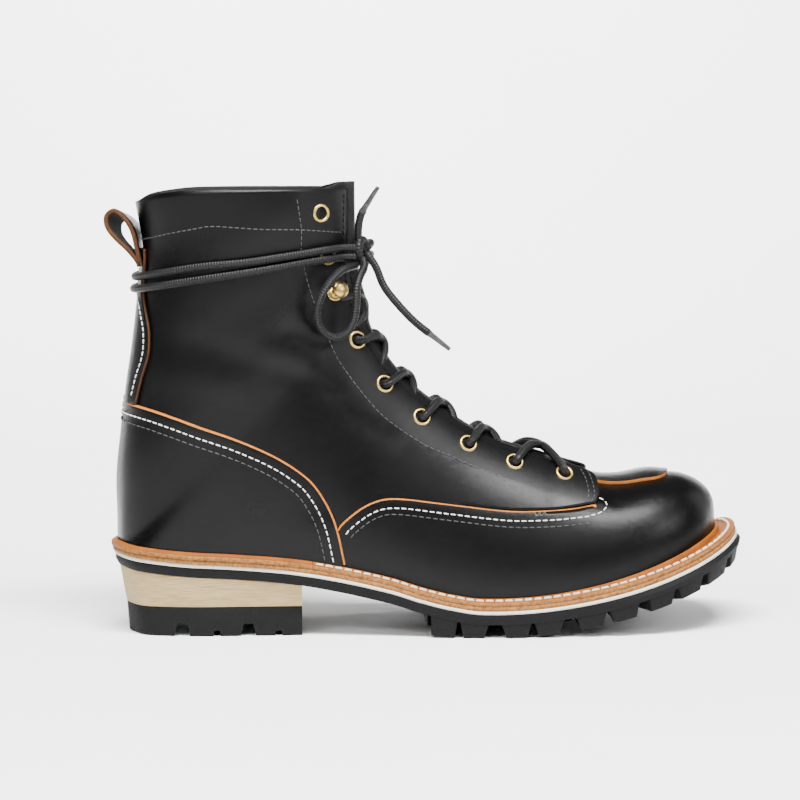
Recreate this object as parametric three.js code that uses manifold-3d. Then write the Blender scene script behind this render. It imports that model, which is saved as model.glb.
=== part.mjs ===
// A right lace-up leather work boot with a welted sole, a stacked heel and a lugged outsole.
// Millimetres, +Z up. While it is built, x runs from the heel's back to the toe, -y is the outer
// (lateral) side, and the floor is z = 0. The finished boot stands with the middle of its floor
// rectangle at the origin.
import * as THREE from 'three';
import { mergeVertices } from 'three/addons/utils/BufferGeometryUtils.js';
import Module from 'manifold-3d';

const wasm = await Module();
wasm.setup();

// Driving dimensions of the sole
const SOLE_LENGTH = 308;
const HEEL_REACH = 5.2;
const SIDE_REACH = 7.3;
const TOE_REACH = 14.6;
const BASE_THICKNESS = 4.8;
const LUG_DEPTH = 6.5;
const CREAM_THICKNESS = 1.7;
const MIDSOLE_THICKNESS = 2.2;
const WELT_THICKNESS = 2.2;
const STORM_HEIGHT = 1.3;
const TOE_STORM_HEIGHT = 3.4;
const TOE_SPRING = 32.5;
const HEEL_RISE = 26.4;
const HEEL_BREAST = 92;
const TOP_PIECE_HEIGHT = 14.3;
const HEEL_TAPER = 6;
const LUG_FLAT_BACK = 172;
const LUG_FLAT_FRONT = 180;
const REAR_ROCKER = 140;
const LUG_START = 153;
const RAND_JOINT = 97;

// Driving dimensions of the upper
const BALL_WIDTH = 91;
const HEEL_WIDTH = 63;
const SHAFT_WIDTH = 76;
const INSTEP_HEIGHT = 100;
const SHAFT_RISE = 90;
const UPPER_WALL = 2.2;
const OVERLAY = 1.6;
const BACKSTAY = 1.4;
const FACING_RISE = 2.6;
const THROAT_WIDTH = 19;
const TONGUE_WIDTH = 46;
const TONGUE_THICKNESS = 2;
const INSOLE_THICKNESS = 3;
const INSOLE_MARGIN = 2.6;
const TAB_THICKNESS = 2.2;
const TAB_WIDTH = 33;
const LOOP_WIDTH = 19;
const LOOP_THICKNESS = 2.1;

// Driving dimensions of the fittings
const EYELET_RADIUS = 4.5;
const EYELET_BORE = 2.2;
const EYELET_RISE = 1.3;
const BARREL_WALL = 0.45;
const KNOB_RADIUS = 3.9;
const KNOB_HEIGHT = 9;
const NECK_RADIUS = 1.7;
const HOOK_FOOT_RADIUS = 4.2;
const HOOK_FOOT_RISE = 1.1;
const LACE = 3.8;
const KNOT_WIDTH = 14;
const KNOT_HEIGHT = 13;
const KNOT_DEPTH = 10;

// Clearance between pieces that touch
const GAP = 0.3;

const UPPER_LENGTH = SOLE_LENGTH - HEEL_REACH - TOE_REACH;
const HEIGHT = INSTEP_HEIGHT + SHAFT_RISE;
const GIRTH = { ball: BALL_WIDTH / 2, heel: HEEL_WIDTH / 2, shaft: SHAFT_WIDTH / 2 };
const WIDE = 400;

// A table's rows as objects, with its columns named in one string.
const table = (columns, rows) => rows.map((row) => Object.fromEntries(
  columns.split(' ').map((column, i) => [column, row[i]]),
));

// Sections of the upper from the toe tip over the instep to the collar. Each lies in a plane
// through a ridge point (rx, low, high) and a bottom point (sx, drop): rx and sx are shares of
// UPPER_LENGTH, low of INSTEP_HEIGHT, high of SHAFT_RISE and drop of HEIGHT, above the seat.
// outer and inner are half widths as shares of half the girth named in of, foot is the width
// at the bottom point and belly the height of the widest place, as shares, and top is the
// roundness towards the ridge.
const SECTIONS = table('rx low high sx drop of outer inner foot belly top', [
  [0.999, 0.150, 0, 0.999, -0.032, 'ball', 0.02, 0.10, 0.90, 0.42, 2.2],
  [0.997, 0.190, 0, 0.997, -0.032, 'ball', 0.15, 0.30, 0.90, 0.40, 2.2],
  [0.987, 0.250, 0, 0.987, -0.034, 'ball', 0.35, 0.50, 0.91, 0.38, 2.25],
  [0.968, 0.315, 0, 0.968, -0.037, 'ball', 0.56, 0.68, 0.92, 0.36, 2.3],
  [0.937, 0.380, 0, 0.937, -0.042, 'ball', 0.74, 0.83, 0.93, 0.34, 2.3],
  [0.892, 0.442, 0, 0.892, -0.042, 'ball', 0.88, 0.945, 0.94, 0.31, 2.25],
  [0.840, 0.488, 0, 0.840, -0.042, 'ball', 0.965, 1.005, 0.945, 0.28, 2.15],
  [0.781, 0.556, 0, 0.781, -0.042, 'ball', 1.005, 1.01, 0.945, 0.25, 2.0],
  [0.708, 0.668, 0, 0.704, -0.042, 'ball', 1.01, 0.98, 0.945, 0.22, 1.9],
  [0.638, 0.761, 0, 0.624, -0.042, 'ball', 0.98, 0.92, 0.94, 0.21, 1.85],
  [0.577, 0.856, 0, 0.531, -0.042, 'ball', 0.915, 0.85, 0.92, 0.22, 1.85],
  [0.525, 0.936, 0, 0.426, -0.042, 'heel', 1.20, 1.12, 0.90, 0.26, 1.9],
  [0.487, 1, 0, 0.322, -0.042, 'heel', 1.11, 1.06, 0.90, 0.33, 1.95],
  [0.461, 1, 0.073, 0.211, -0.042, 'heel', 1.09, 1.06, 0.91, 0.38, 2.0],
  [0.442, 1, 0.155, 0.107, -0.042, 'heel', 1.09, 1.07, 0.87, 0.40, 2.05],
  [0.426, 1, 0.238, 0.031, -0.032, 'heel', 1.09, 1.08, 0.68, 0.43, 2.1],
  [0.419, 1, 0.281, 0.011, -0.018, 'heel', 1.09, 1.08, 0.46, 0.44, 2.1],
  [0.412, 1, 0.328, 0.001, 0.002, 'heel', 1.09, 1.08, 0.10, 0.46, 2.1],
  [0.404, 1, 0.411, 0, 0.089, 'heel', 1.10, 1.09, 0.06, 0.47, 2.15],
  [0.398, 1, 0.496, 0, 0.184, 'shaft', 0.92, 0.915, 0.05, 0.48, 2.15],
  [0.394, 1, 0.582, 0.008, 0.295, 'shaft', 0.925, 0.92, 0.05, 0.49, 2.2],
  [0.392, 1, 0.669, 0.017, 0.407, 'shaft', 0.93, 0.925, 0.05, 0.5, 2.2],
  [0.392, 1, 0.758, 0.028, 0.514, 'shaft', 0.945, 0.94, 0.05, 0.5, 2.2],
  [0.392, 1, 0.847, 0.038, 0.631, 'shaft', 0.965, 0.96, 0.05, 0.5, 2.2],
  [0.392, 1, 0.936, 0.045, 0.753, 'shaft', 0.985, 0.98, 0.05, 0.5, 2.2],
  [0.392, 1, 1.036, 0.033, 0.878, 'shaft', 1, 1, 0.05, 0.5, 2.2],
  [0.392, 1, 1.169, 0.025, 0.977, 'shaft', 1.01, 1.01, 0.05, 0.5, 2.2],
]);
const LAST_ROW = SECTIONS.length - 1;
const SIDE_STEPS = 5;
const FOOT_STEPS = 4;

// Rise of the sole line from the ball back to the heel: at is a share of SOLE_LENGTH, rise of
// HEEL_RISE.
const HEEL_LINE = table('at rise', [
  [0, 1], [0.049, 0.947], [0.114, 0.875], [0.192, 0.822], [0.282, 0.727],
  [0.36, 0.576], [0.435, 0.379], [0.48, 0.216], [0.529, 0.076], [0.578, 0],
  [1.2, 0],
]);

// Lines drawn on the side of the upper, from shares of UPPER_LENGTH (at) and HEIGHT (up, above
// the floor): the collar's top, the top edge of the counter cover, the wing of the vamp, the
// front end of the facing and the edge of the backstay.
const COLLAR = table('at up', [
  [-0.1, 1.075], [0.032, 1.092], [0.056, 1.11], [0.09, 1.119],
  [0.13, 1.124], [0.3, 1.124], [0.46, 1.125],
]);
const COUNTER_EDGE = table('at up', [
  [-0.1, 0.602], [0.013, 0.588], [0.057, 0.575], [0.14, 0.533], [0.224, 0.484],
  [0.3, 0.418], [0.342, 0.343], [0.363, 0.265], [0.378, 0.14],
]);
const WING_EDGE = table('at up', [
  [0.366, 0.288], [0.383, 0.306], [0.404, 0.328], [0.425, 0.342], [0.446, 0.348],
  [0.477, 0.346], [0.572, 0.326], [0.657, 0.311], [0.72, 0.311], [0.79, 0.318],
]);
const FACING_FRONT = table('at up', [
  [0.79, 0.318], [0.797, 0.335], [0.793, 0.375], [0.784, 0.4], [0.775, 0.44],
]);
const BACKSTAY_EDGE = table('at up', [
  [0.0345, 0.6], [0.043, 0.65], [0.055, 0.71], [0.057, 0.77],
  [0.052, 0.82], [0.0475, 0.87], [0.0515, 0.94], [0.0515, 1.2],
]);

// Eyelets from the top down, in side view as shares of UPPER_LENGTH and HEIGHT above the
// floor. The third place holds a knob hook.
const EYELETS = table('at up', [
  [0.340, 1.063], [0.351, 0.955], [0.373, 0.860], [0.399, 0.740], [0.444, 0.628],
  [0.505, 0.543], [0.582, 0.474], [0.659, 0.424], [0.741, 0.388],
]);
const HOOK_PLACE = 2;

// Forefoot lug gaps, as shares of SOLE_LENGTH: the middle of each gap, its width at the floor
// and its width at its root.
const LUG_GAPS = table('at mouth root', [
  [0.539, 0.014, 0.003], [0.595, 0.034, 0.019], [0.653, 0.017, 0.003],
  [0.711, 0.033, 0.017], [0.769, 0.019, 0.004], [0.825, 0.024, 0.014],
  [0.877, 0.016, 0.004], [0.923, 0.013, 0.009], [0.967, 0.012, 0.007],
]);
const HEEL_NOTCHES = table('at mouth root deep', [
  [0.112, 0.024, 0.016, 0.42], [0.166, 0.012, 0.008, 0.19],
  [0.215, 0.024, 0.014, 0.41], [0.262, 0.013, 0.008, 0.16],
]);

const lengthwise = (share) => HEEL_REACH + share * UPPER_LENGTH;
const square = (value) => value * value;
const clampTo = (value, low, high) => Math.min(high, Math.max(low, value));

// A smooth curve through the rows of a table, read at a value of its first column.
function readCurve(table, across, along, value) {
  const last = table.length - 1;
  let i = 0;
  while (i < last - 1 && table[i + 1][across] < value) i++;
  const slope = (k) => {
    const a = Math.max(0, k - 1);
    const b = Math.min(last, k + 1);
    return (table[b][along] - table[a][along]) / (table[b][across] - table[a][across]);
  };
  const width = table[i + 1][across] - table[i][across];
  const t = clampTo((value - table[i][across]) / width, 0, 1);
  const rest = 1 - t;
  const ends = square(rest) * (1 + 2 * t) * table[i][along]
    + square(t) * (3 - 2 * t) * table[i + 1][along];
  return ends + width * t * rest * (rest * slope(i) - t * slope(i + 1));
}

// Heights of the sole's layers
const rubberTop = (x) => LUG_DEPTH + BASE_THICKNESS
  + TOE_SPRING * square(Math.max(0, x - LUG_FLAT_FRONT) / (SOLE_LENGTH - LUG_FLAT_FRONT))
  + HEEL_RISE * readCurve(HEEL_LINE, 'at', 'rise', Math.max(0, x / SOLE_LENGTH));
const rubberBase = (x) => rubberTop(x) - BASE_THICKNESS;
const ground = (x) => rubberTop(Math.max(x, LUG_FLAT_FRONT)) - LUG_DEPTH - BASE_THICKNESS
  + square(Math.max(0, LUG_FLAT_BACK - x)) / (2 * REAR_ROCKER);
const creamTop = (x) => rubberTop(x) + CREAM_THICKNESS;
const seat = (x) => creamTop(x) + MIDSOLE_THICKNESS;
const weltTop = (x) => seat(x) + WELT_THICKNESS;

// One section's values between two rows, on a smooth curve through four rows.
function sectionAt(row) {
  const i = clampTo(Math.floor(row), 0, LAST_ROW - 1);
  const t = row - i;
  const four = [i - 1, i, i + 1, i + 2].map((k) => SECTIONS[clampTo(k, 0, LAST_ROW)]);
  const blend = (read) => {
    const [a, b, c, d] = four.map(read);
    const bend = 2 * a - 5 * b + 4 * c - d;
    return b + 0.5 * t * (c - a + t * (bend + t * (3 * (b - c) + d - a)));
  };
  const rx = lengthwise(blend((s) => s.rx));
  const sx = lengthwise(blend((s) => s.sx));
  const rise = blend((s) => s.low) * INSTEP_HEIGHT + blend((s) => s.high) * SHAFT_RISE;
  return {
    rx,
    rz: seat(rx) + rise,
    sx,
    sz: seat(sx) + blend((s) => s.drop) * HEIGHT,
    outer: blend((s) => s.outer * GIRTH[s.of]),
    inner: blend((s) => s.inner * GIRTH[s.of]),
    foot: blend((s) => s.foot),
    belly: blend((s) => s.belly),
    top: blend((s) => s.top),
  };
}

// Half width of a section at a height h, from 0 at its bottom point to 1 at its ridge.
function halfWidth(section, side, h) {
  const widest = side < 0 ? section.outer : section.inner;
  if (h >= section.belly) {
    const up = Math.min(1, (h - section.belly) / (1 - section.belly));
    return widest * Math.sqrt(Math.max(0, 1 - up ** section.top));
  }
  const down = Math.min(1, (section.belly - h) / section.belly);
  return widest * Math.sqrt(1 - (1 - square(section.foot)) * square(down));
}

function sectionPoint(section, side, h) {
  return new THREE.Vector3(
    section.sx + (section.rx - section.sx) * h,
    side * halfWidth(section, side, h),
    section.sz + (section.rz - section.sz) * h,
  );
}

// Heights along one side of a section, from its bottom point to just before its ridge.
function sideHeights(section) {
  const heights = [];
  for (let k = 0; k < FOOT_STEPS; k++) {
    const turn = (Math.PI / 2) * (1 - k / FOOT_STEPS);
    heights.push(section.belly * (1 - Math.sin(turn)));
  }
  for (let k = 0; k < SIDE_STEPS; k++) {
    const turn = (Math.PI / 2) * (k / SIDE_STEPS);
    heights.push(section.belly + (1 - section.belly) * Math.sin(turn) ** (2 / section.top));
  }
  return heights;
}

// Section rows that the upper's solids are lofted through: the table's rows, with one more
// between two at the ball and fewer up the straight shaft.
const LOFT_ROWS = [0, 1, 2, 3, 4, 5, 6, 7, 7.5, 8, 8.5, 9, 9.5, 10, 11, 12, 13, 14, 15, 16, 17,
  18, 19, 21, 23, 25, 26];
const upperLoops = LOFT_ROWS.map((row) => {
  const section = sectionAt(row);
  const heights = sideHeights(section);
  const outer = heights.map((h) => sectionPoint(section, -1, h));
  const inner = heights.map((h) => sectionPoint(section, 1, h)).reverse();
  return [...outer, sectionPoint(section, 1, 1), ...inner];
});

// Outward normals of a grid of loops. A loop is closed across its bottom only where the two
// ends meet, at the back of the heel and shaft.
const MEETING = 12;
function loopNormals(loops) {
  return loops.map((loop, i) => {
    const before = loops[Math.max(0, i - 1)];
    const after = loops[Math.min(loops.length - 1, i + 1)];
    const last = loop.length - 1;
    const closed = loop[0].distanceTo(loop[last]) < MEETING;
    return loop.map((point, j) => {
      const previous = j > 0 ? loop[j - 1] : loop[closed ? last : 0];
      const next = j < last ? loop[j + 1] : loop[closed ? 0 : last];
      const along = after[j].clone().sub(before[j]);
      return next.clone().sub(previous).cross(along).normalize();
    });
  });
}
const upperNormals = loopNormals(upperLoops);

// Makes a manifold solid from vertices and triangles, turned so that its faces point out.
function solidFrom(points, triangles) {
  const vertProperties = new Float32Array(points.flatMap((p) => [p.x, p.y, p.z]));
  let volume = 0;
  for (const [a, b, c] of triangles) {
    volume += points[a].dot(points[b].clone().cross(points[c]));
  }
  const ordered = volume < 0 ? triangles.map(([a, b, c]) => [a, c, b]) : triangles;
  const triVerts = new Uint32Array(ordered.flat());
  return new wasm.Manifold(new wasm.Mesh({ numProp: 3, vertProperties, triVerts }));
}

// A solid through closed loops of equally many points, with a flat fan at each end.
function loft(loops) {
  const count = loops[0].length;
  const points = loops.flat();
  const triangles = [];
  for (let i = 0; i + 1 < loops.length; i++) {
    for (let j = 0; j < count; j++) {
      const a = i * count + j;
      const b = i * count + ((j + 1) % count);
      triangles.push([a, b, b + count], [a, b + count, a + count]);
    }
  }
  [0, loops.length - 1].forEach((i) => {
    const centre = loops[i].reduce((sum, p) => sum.add(p), new THREE.Vector3());
    points.push(centre.divideScalar(count));
    const middle = points.length - 1;
    for (let j = 0; j < count; j++) {
      const edge = [i * count + j, i * count + ((j + 1) % count)];
      triangles.push(i === 0 ? [edge[1], edge[0], middle] : [edge[0], edge[1], middle]);
    }
  });
  return solidFrom(points, triangles);
}

// A three.js geometry as a manifold solid.
function solidOf(geometry) {
  const plain = geometry.clone();
  plain.deleteAttribute('normal');
  plain.deleteAttribute('uv');
  const merged = mergeVertices(plain, 1e-4);
  const place = merged.getAttribute('position');
  const points = [];
  for (let i = 0; i < place.count; i++) {
    points.push(new THREE.Vector3().fromBufferAttribute(place, i));
  }
  const index = merged.getIndex().array;
  const triangles = [];
  for (let i = 0; i < index.length; i += 3) {
    triangles.push([index[i], index[i + 1], index[i + 2]]);
  }
  return solidFrom(points, triangles);
}

const minus = (body, ...cutters) => cutters.reduce((rest, cutter) => rest.subtract(cutter), body);
const union = (bodies) => bodies.reduce((sum, body) => sum.add(body));

// The upper's form moved out by an offset, which may follow the section row.
function form(offset) {
  const amount = typeof offset === 'function' ? offset : () => offset;
  return loft(upperLoops.map((loop, i) => loop.map(
    (p, j) => p.clone().addScaledVector(upperNormals[i][j], amount(LOFT_ROWS[i])),
  )));
}

// A side-view outline [x, z] carried across the boot from y = from to y = to.
function sidePrism(outline, from = -WIDE / 2, to = WIDE / 2) {
  const shape = new THREE.Shape(outline.map(([x, z]) => new THREE.Vector2(x, z)));
  const geometry = new THREE.ExtrudeGeometry(shape, { depth: to - from, bevelEnabled: false });
  geometry.rotateX(Math.PI / 2);
  geometry.translate(0, to, 0);
  return solidOf(geometry);
}

// Points of a drawn line in millimetres, moved by a side-view shift.
const drawn = (line, dx = 0, dz = 0) => line.map(
  (p) => [lengthwise(p.at) + dx, p.up * HEIGHT + dz],
);

// Stations of the feather line, where the upper's form meets its seat: x, and the outline's
// point and outward direction on either side.
function featherHeight(section) {
  let low = 0;
  let high = 0.6;
  for (let k = 0; k < 40; k++) {
    const h = (low + high) / 2;
    const p = sectionPoint(section, 1, h);
    if (p.z < seat(p.x)) low = h; else high = h;
  }
  return low;
}
function seatBackRow() {
  let low = SECTIONS.findIndex((section) => section.drop > 0) - 1;
  let high = low + 1;
  for (let k = 0; k < 30; k++) {
    const row = (low + high) / 2;
    const section = sectionAt(row);
    if (section.sz < seat(section.sx)) low = row; else high = row;
  }
  return low;
}
const SEAT_BACK = seatBackRow();
const STATION_STEP = 0.5;
const HEEL_ROW = 14;
const featherRows = [];
for (let row = 0; row < SEAT_BACK; row += row < HEEL_ROW ? STATION_STEP : STATION_STEP / 2) {
  featherRows.push(row);
}
featherRows.push(SEAT_BACK);
const featherPoints = featherRows.map((row) => {
  const section = sectionAt(row);
  const h = featherHeight(section);
  return { row, outer: sectionPoint(section, -1, h), inner: sectionPoint(section, 1, h) };
});
const stations = featherPoints.map((here, i) => {
  const before = featherPoints[Math.max(0, i - 1)];
  const after = featherPoints[Math.min(featherPoints.length - 1, i + 1)];
  const outward = (side) => {
    const way = after[side].clone().sub(before[side]);
    const turn = side === 'outer' ? 1 : -1;
    return new THREE.Vector3(way.y * turn, -way.x * turn, 0).normalize().multiplyScalar(-1);
  };
  return { ...here, outerWay: outward('outer'), innerWay: outward('inner') };
});

// A layer of the sole: rings from its bottom up, each with a height above the floor at every
// x and its setback from the sole's outline at the heel, the side and the toe. A ring with an
// inset is measured in from the feather line instead.
const ease = (t) => square(clampTo(t, 0, 1)) * (3 - 2 * clampTo(t, 0, 1));
const sideShare = (x) => ease((x - HEEL_BREAST * 0.6) / (SOLE_LENGTH * 0.24));
const toeShare = (x) => ease((x / SOLE_LENGTH - 0.68) / 0.26);
const between = (x, { heel, side, toe }) => heel + (side - heel) * sideShare(x)
  + (toe - side) * toeShare(x);
const SOLE_REACH = { heel: HEEL_REACH, side: SIDE_REACH, toe: TOE_REACH };
function soleLayer(rings) {
  const ringPoint = (point, way, ring) => {
    const reach = ring.inset === undefined
      ? between(point.x, SOLE_REACH) - between(point.x, ring.setback) : -ring.inset;
    const p = point.clone().addScaledVector(way, reach);
    p.z = ring.height(p.x);
    return p;
  };
  return loft(stations.map((station) => [
    ...rings.map((ring) => ringPoint(station.outer, station.outerWay, ring)),
    ...[...rings].reverse().map((ring) => ringPoint(station.inner, station.innerWay, ring)),
  ]));
}

const behind = (x) => sidePrism([[-WIDE, -WIDE], [x, -WIDE], [x, WIDE], [-WIDE, WIDE]]);
const ahead = (x) => sidePrism([[x, -WIDE], [2 * WIDE, -WIDE], [2 * WIDE, WIDE], [x, WIDE]]);

// Everything below a height line, as a cutter with its corners at the sole's own stations.
function below(height) {
  const ends = [-0.1 * SOLE_LENGTH, 0, SOLE_LENGTH, 1.1 * SOLE_LENGTH];
  const along = [...ends, ...stations.map((station) => station.outer.x)].sort((a, b) => b - a);
  return sidePrism([
    [along[along.length - 1], -WIDE], [along[0], -WIDE], ...along.map((x) => [x, height(x)]),
  ]);
}

const raised = (height, by) => (x) => height(x) + by;

// A gap between lugs, narrowing to its root, from an edge inward on one side.
function lugGap(gap, bottom, depth, from, to) {
  const x = gap.at * SOLE_LENGTH;
  const mouth = (gap.mouth / 2) * SOLE_LENGTH;
  const root = (gap.root / 2) * SOLE_LENGTH;
  const under = bottom(x) - 2 * depth;
  const flare = mouth + (mouth - root) * 2;
  return sidePrism([
    [x - flare, under], [x + flare, under], [x + root, bottom(x) + depth],
    [x - root, bottom(x) + depth],
  ], from, to);
}

// The rubber outsole: a base that runs back over the heel, side lugs round the forefoot and a
// middle island cut into bars.
const LUG_REACH_IN = BALL_WIDTH * 0.26;
const CHANNEL = BALL_WIDTH * 0.05;
const RUBBER_EDGE = { heel: 1.9, side: 0, toe: 0 };
const RUBBER_FOOT = { heel: 3.4, side: 0.7, toe: 0.6 };
const TREAD_EDGE = { heel: 4, side: 1.6, toe: 2.2 };
function makeOutsole() {
  const base = soleLayer([
    { setback: RUBBER_FOOT, height: rubberBase },
    { setback: RUBBER_EDGE, height: raised(rubberBase, BASE_THICKNESS / 2) },
    { setback: { ...RUBBER_EDGE, toe: 1.6 }, height: rubberTop },
  ]);
  const tread = (inset) => soleLayer([
    { inset, height: ground }, { inset, height: raised(rubberBase, BASE_THICKNESS / 2) },
  ]);
  const rim = soleLayer([
    { setback: TREAD_EDGE, height: ground },
    { setback: RUBBER_FOOT, height: raised(rubberBase, BASE_THICKNESS / 2) },
  ]);
  const gaps = LUG_GAPS.flatMap((gap) => [
    lugGap(gap, ground, LUG_DEPTH, -WIDE / 2, -LUG_REACH_IN / 2),
    lugGap(gap, ground, LUG_DEPTH, LUG_REACH_IN / 2, WIDE / 2),
  ]);
  const island = minus(tread(LUG_REACH_IN), ...LUG_GAPS.map(
    (gap) => lugGap({ ...gap, at: gap.at + 0.028 }, ground, LUG_DEPTH, -WIDE / 2, WIDE / 2),
  ));
  const lugs = minus(rim, tread(LUG_REACH_IN - CHANNEL), ...gaps);
  return union([lugs, island]).intersect(ahead(LUG_START)).add(base);
}

// The heel: a wedge of stacked leather under the base, and a rubber top piece with notches.
const heelSetback = (share) => {
  const heel = RUBBER_FOOT.heel + HEEL_TAPER * share;
  return { heel, side: heel, toe: heel };
};
function makeHeelStack() {
  return soleLayer([
    { setback: heelSetback(0.75), height: () => TOP_PIECE_HEIGHT + GAP },
    { setback: heelSetback(0.1), height: raised(rubberBase, -GAP) },
  ]).intersect(behind(HEEL_BREAST));
}

function makeTopPiece() {
  const block = soleLayer([
    { setback: heelSetback(1), height: () => 0 },
    { setback: heelSetback(0.78), height: () => TOP_PIECE_HEIGHT },
  ]).intersect(behind(HEEL_BREAST));
  const notches = HEEL_NOTCHES.flatMap((notch) => {
    const depth = notch.deep * TOP_PIECE_HEIGHT;
    const reachIn = HEEL_WIDTH * 0.24;
    return [
      lugGap(notch, () => 0, depth, -WIDE / 2, -reachIn),
      lugGap(notch, () => 0, depth, reachIn, WIDE / 2),
    ];
  });
  return minus(block, ...notches);
}

// The welt and heel rand: a flat band that carries a storm ridge up against the upper.
const overlayFace = GAP + OVERLAY;
const WELT_EDGE = { heel: 0, side: 0.5, toe: 2.8 };
const MIDSOLE_EDGE = { heel: 0.6, side: 0.5, toe: 2.3 };
const CREAM_EDGE = { heel: 1.3, side: 0.2, toe: 1.5 };
function makeWelts() {
  const toe = (x) => square(clampTo((x / SOLE_LENGTH - 0.6) / 0.33, 0, 1));
  const storm = (x) => weltTop(x) + STORM_HEIGHT + (TOE_STORM_HEIGHT - STORM_HEIGHT) * toe(x);
  const rib = overlayFace + GAP;
  const band = soleLayer([
    { setback: WELT_EDGE, height: raised(seat, GAP) },
    { setback: WELT_EDGE, height: weltTop },
    { inset: -(rib + 1.3), height: storm },
  ]);
  const ring = minus(band, form(rib));
  return {
    welt: ring.intersect(ahead(RAND_JOINT + GAP)),
    rand: ring.intersect(behind(RAND_JOINT)),
  };
}

// The upper, open at the collar and throat and underneath.
const underSeat = below(raised(seat, GAP));
const outline = (line, ...corners) => [...line, ...corners];
const aboveCollar = sidePrism(outline(
  drawn(COLLAR), [WIDE, 1.125 * HEIGHT], [WIDE, WIDE], [-WIDE, WIDE], [-WIDE, 1.075 * HEIGHT],
));

// A box along the fan of sections, about the ridge, for what lies in or under the throat.
function ridgeBox(fromRow, toRow, halfWidthAt, depth, height) {
  const loops = [];
  for (let row = fromRow; row <= toRow; row += 1) {
    const s = sectionAt(row);
    const up = new THREE.Vector3(s.rx - s.sx, 0, s.rz - s.sz).normalize();
    const ridge = new THREE.Vector3(s.rx, 0, s.rz);
    const half = halfWidthAt(row);
    const corner = (y, h) => ridge.clone().addScaledVector(up, h).setY(y);
    loops.push([
      corner(-half, -depth), corner(-half, height), corner(half, height), corner(half, -depth),
    ]);
  }
  return loft(loops);
}
const THROAT_ROW = 7;
const throat = ridgeBox(THROAT_ROW, LAST_ROW, (row) => {
  const opening = clampTo((row - THROAT_ROW) / 2, 0, 1);
  return (THROAT_WIDTH / 2) * (0.35 + 0.65 * Math.sqrt(opening));
}, UPPER_WALL * 6, 12);

const facingRise = (row) => FACING_RISE * clampTo(row - 5, 0, 1) * clampTo((10 - row) / 3, 0, 1);
const facingRegion = (shift) => sidePrism(outline(
  drawn(FACING_FRONT, shift), [lengthwise(0.7), 0.5 * HEIGHT], [lengthwise(0.64), 0.44 * HEIGHT],
  [lengthwise(0.66), 0.318 * HEIGHT + shift],
));

// The place on the upper's form at a section row, a side and a height: its point and the
// outward direction there.
function spot(row, side, h) {
  const step = 0.004;
  const at = (r, k) => sectionPoint(sectionAt(r), side, k);
  const along = at(row + step * 5, h).sub(at(row - step * 5, h));
  const up = at(row, h + step).sub(at(row, h - step));
  const way = along.cross(up).multiplyScalar(side).normalize();
  return { point: at(row, h), way };
}

// The row and height of the place seen from the side at (x, z).
function placeSeenAt(x, z) {
  let low = 0;
  let high = LAST_ROW;
  for (let k = 0; k < 40; k++) {
    const row = (low + high) / 2;
    const s = sectionAt(row);
    const beyond = (s.rx - s.sx) * (z - s.sz) - (s.rz - s.sz) * (x - s.sx);
    if (beyond > 0) low = row; else high = row;
  }
  const s = sectionAt(low);
  const run = square(s.rx - s.sx) + square(s.rz - s.sz);
  return { row: low, h: ((x - s.sx) * (s.rx - s.sx) + (z - s.sz) * (s.rz - s.sz)) / run };
}
const lacePlaces = [-1, 1].flatMap((side) => EYELETS.map((eyelet, i) => {
  const { row, h } = placeSeenAt(lengthwise(eyelet.at), eyelet.up * HEIGHT);
  const { point, way } = spot(row, side, h);
  point.addScaledVector(way, facingRise(row));
  const name = `${side < 0 ? 'outer' : 'inner'}_${i + 1}`;
  return { name, side, number: i, hook: i === HOOK_PLACE, row, point, way };
}));

// A turned piece about the line out of the upper at a lace place.
function placeOn(geometry, place) {
  const turn = new THREE.Quaternion().setFromUnitVectors(new THREE.Vector3(0, 1, 0), place.way);
  geometry.applyQuaternion(turn);
  geometry.translate(place.point.x, place.point.y, place.point.z);
  return geometry;
}
const TURN_STEPS = 8;
const turned = (profile) => new THREE.LatheGeometry(
  profile.map(([radius, height]) => new THREE.Vector2(radius, height)), TURN_STEPS,
);
const holeRadius = EYELET_BORE + BARREL_WALL + GAP;
function makeHole(place) {
  const radius = place.hook ? NECK_RADIUS + GAP : holeRadius;
  const reach = 3 * UPPER_WALL;
  const drill = turned([[0, -reach], [radius, -reach], [radius, reach], [0, reach]]);
  return solidOf(placeOn(drill, place));
}

function makeUpper() {
  const facing = form(facingRise).intersect(facingRegion(0));
  return minus(
    form(0).add(facing), form(-UPPER_WALL), underSeat, aboveCollar, throat,
    ...lacePlaces.map(makeHole),
  );
}

// Overlays between two larger forms, each cut to its outline.
const shell = (from, to) => form(to).subtract(form(from));
const overlayShell = minus(shell(GAP, overlayFace), underSeat);
const counterOutline = (shift) => outline(
  drawn(COUNTER_EDGE, shift, shift), [lengthwise(0.378) + shift, -10], [-WIDE, -10],
  [-WIDE, 0.6 * HEIGHT + shift],
);
const wingOutline = outline(
  drawn(WING_EDGE), [lengthwise(0.785), 0.46 * HEIGHT], [WIDE, 0.46 * HEIGHT], [WIDE, -10],
  [lengthwise(0.3), -10], [lengthwise(0.3), 0.2 * HEIGHT],
);
function makeVamp() {
  return minus(
    overlayShell.intersect(sidePrism(wingOutline)), sidePrism(counterOutline(GAP)),
    facingRegion(GAP), throat,
  );
}
function makeCounterCover() {
  return overlayShell.intersect(sidePrism(counterOutline(0)));
}

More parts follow.
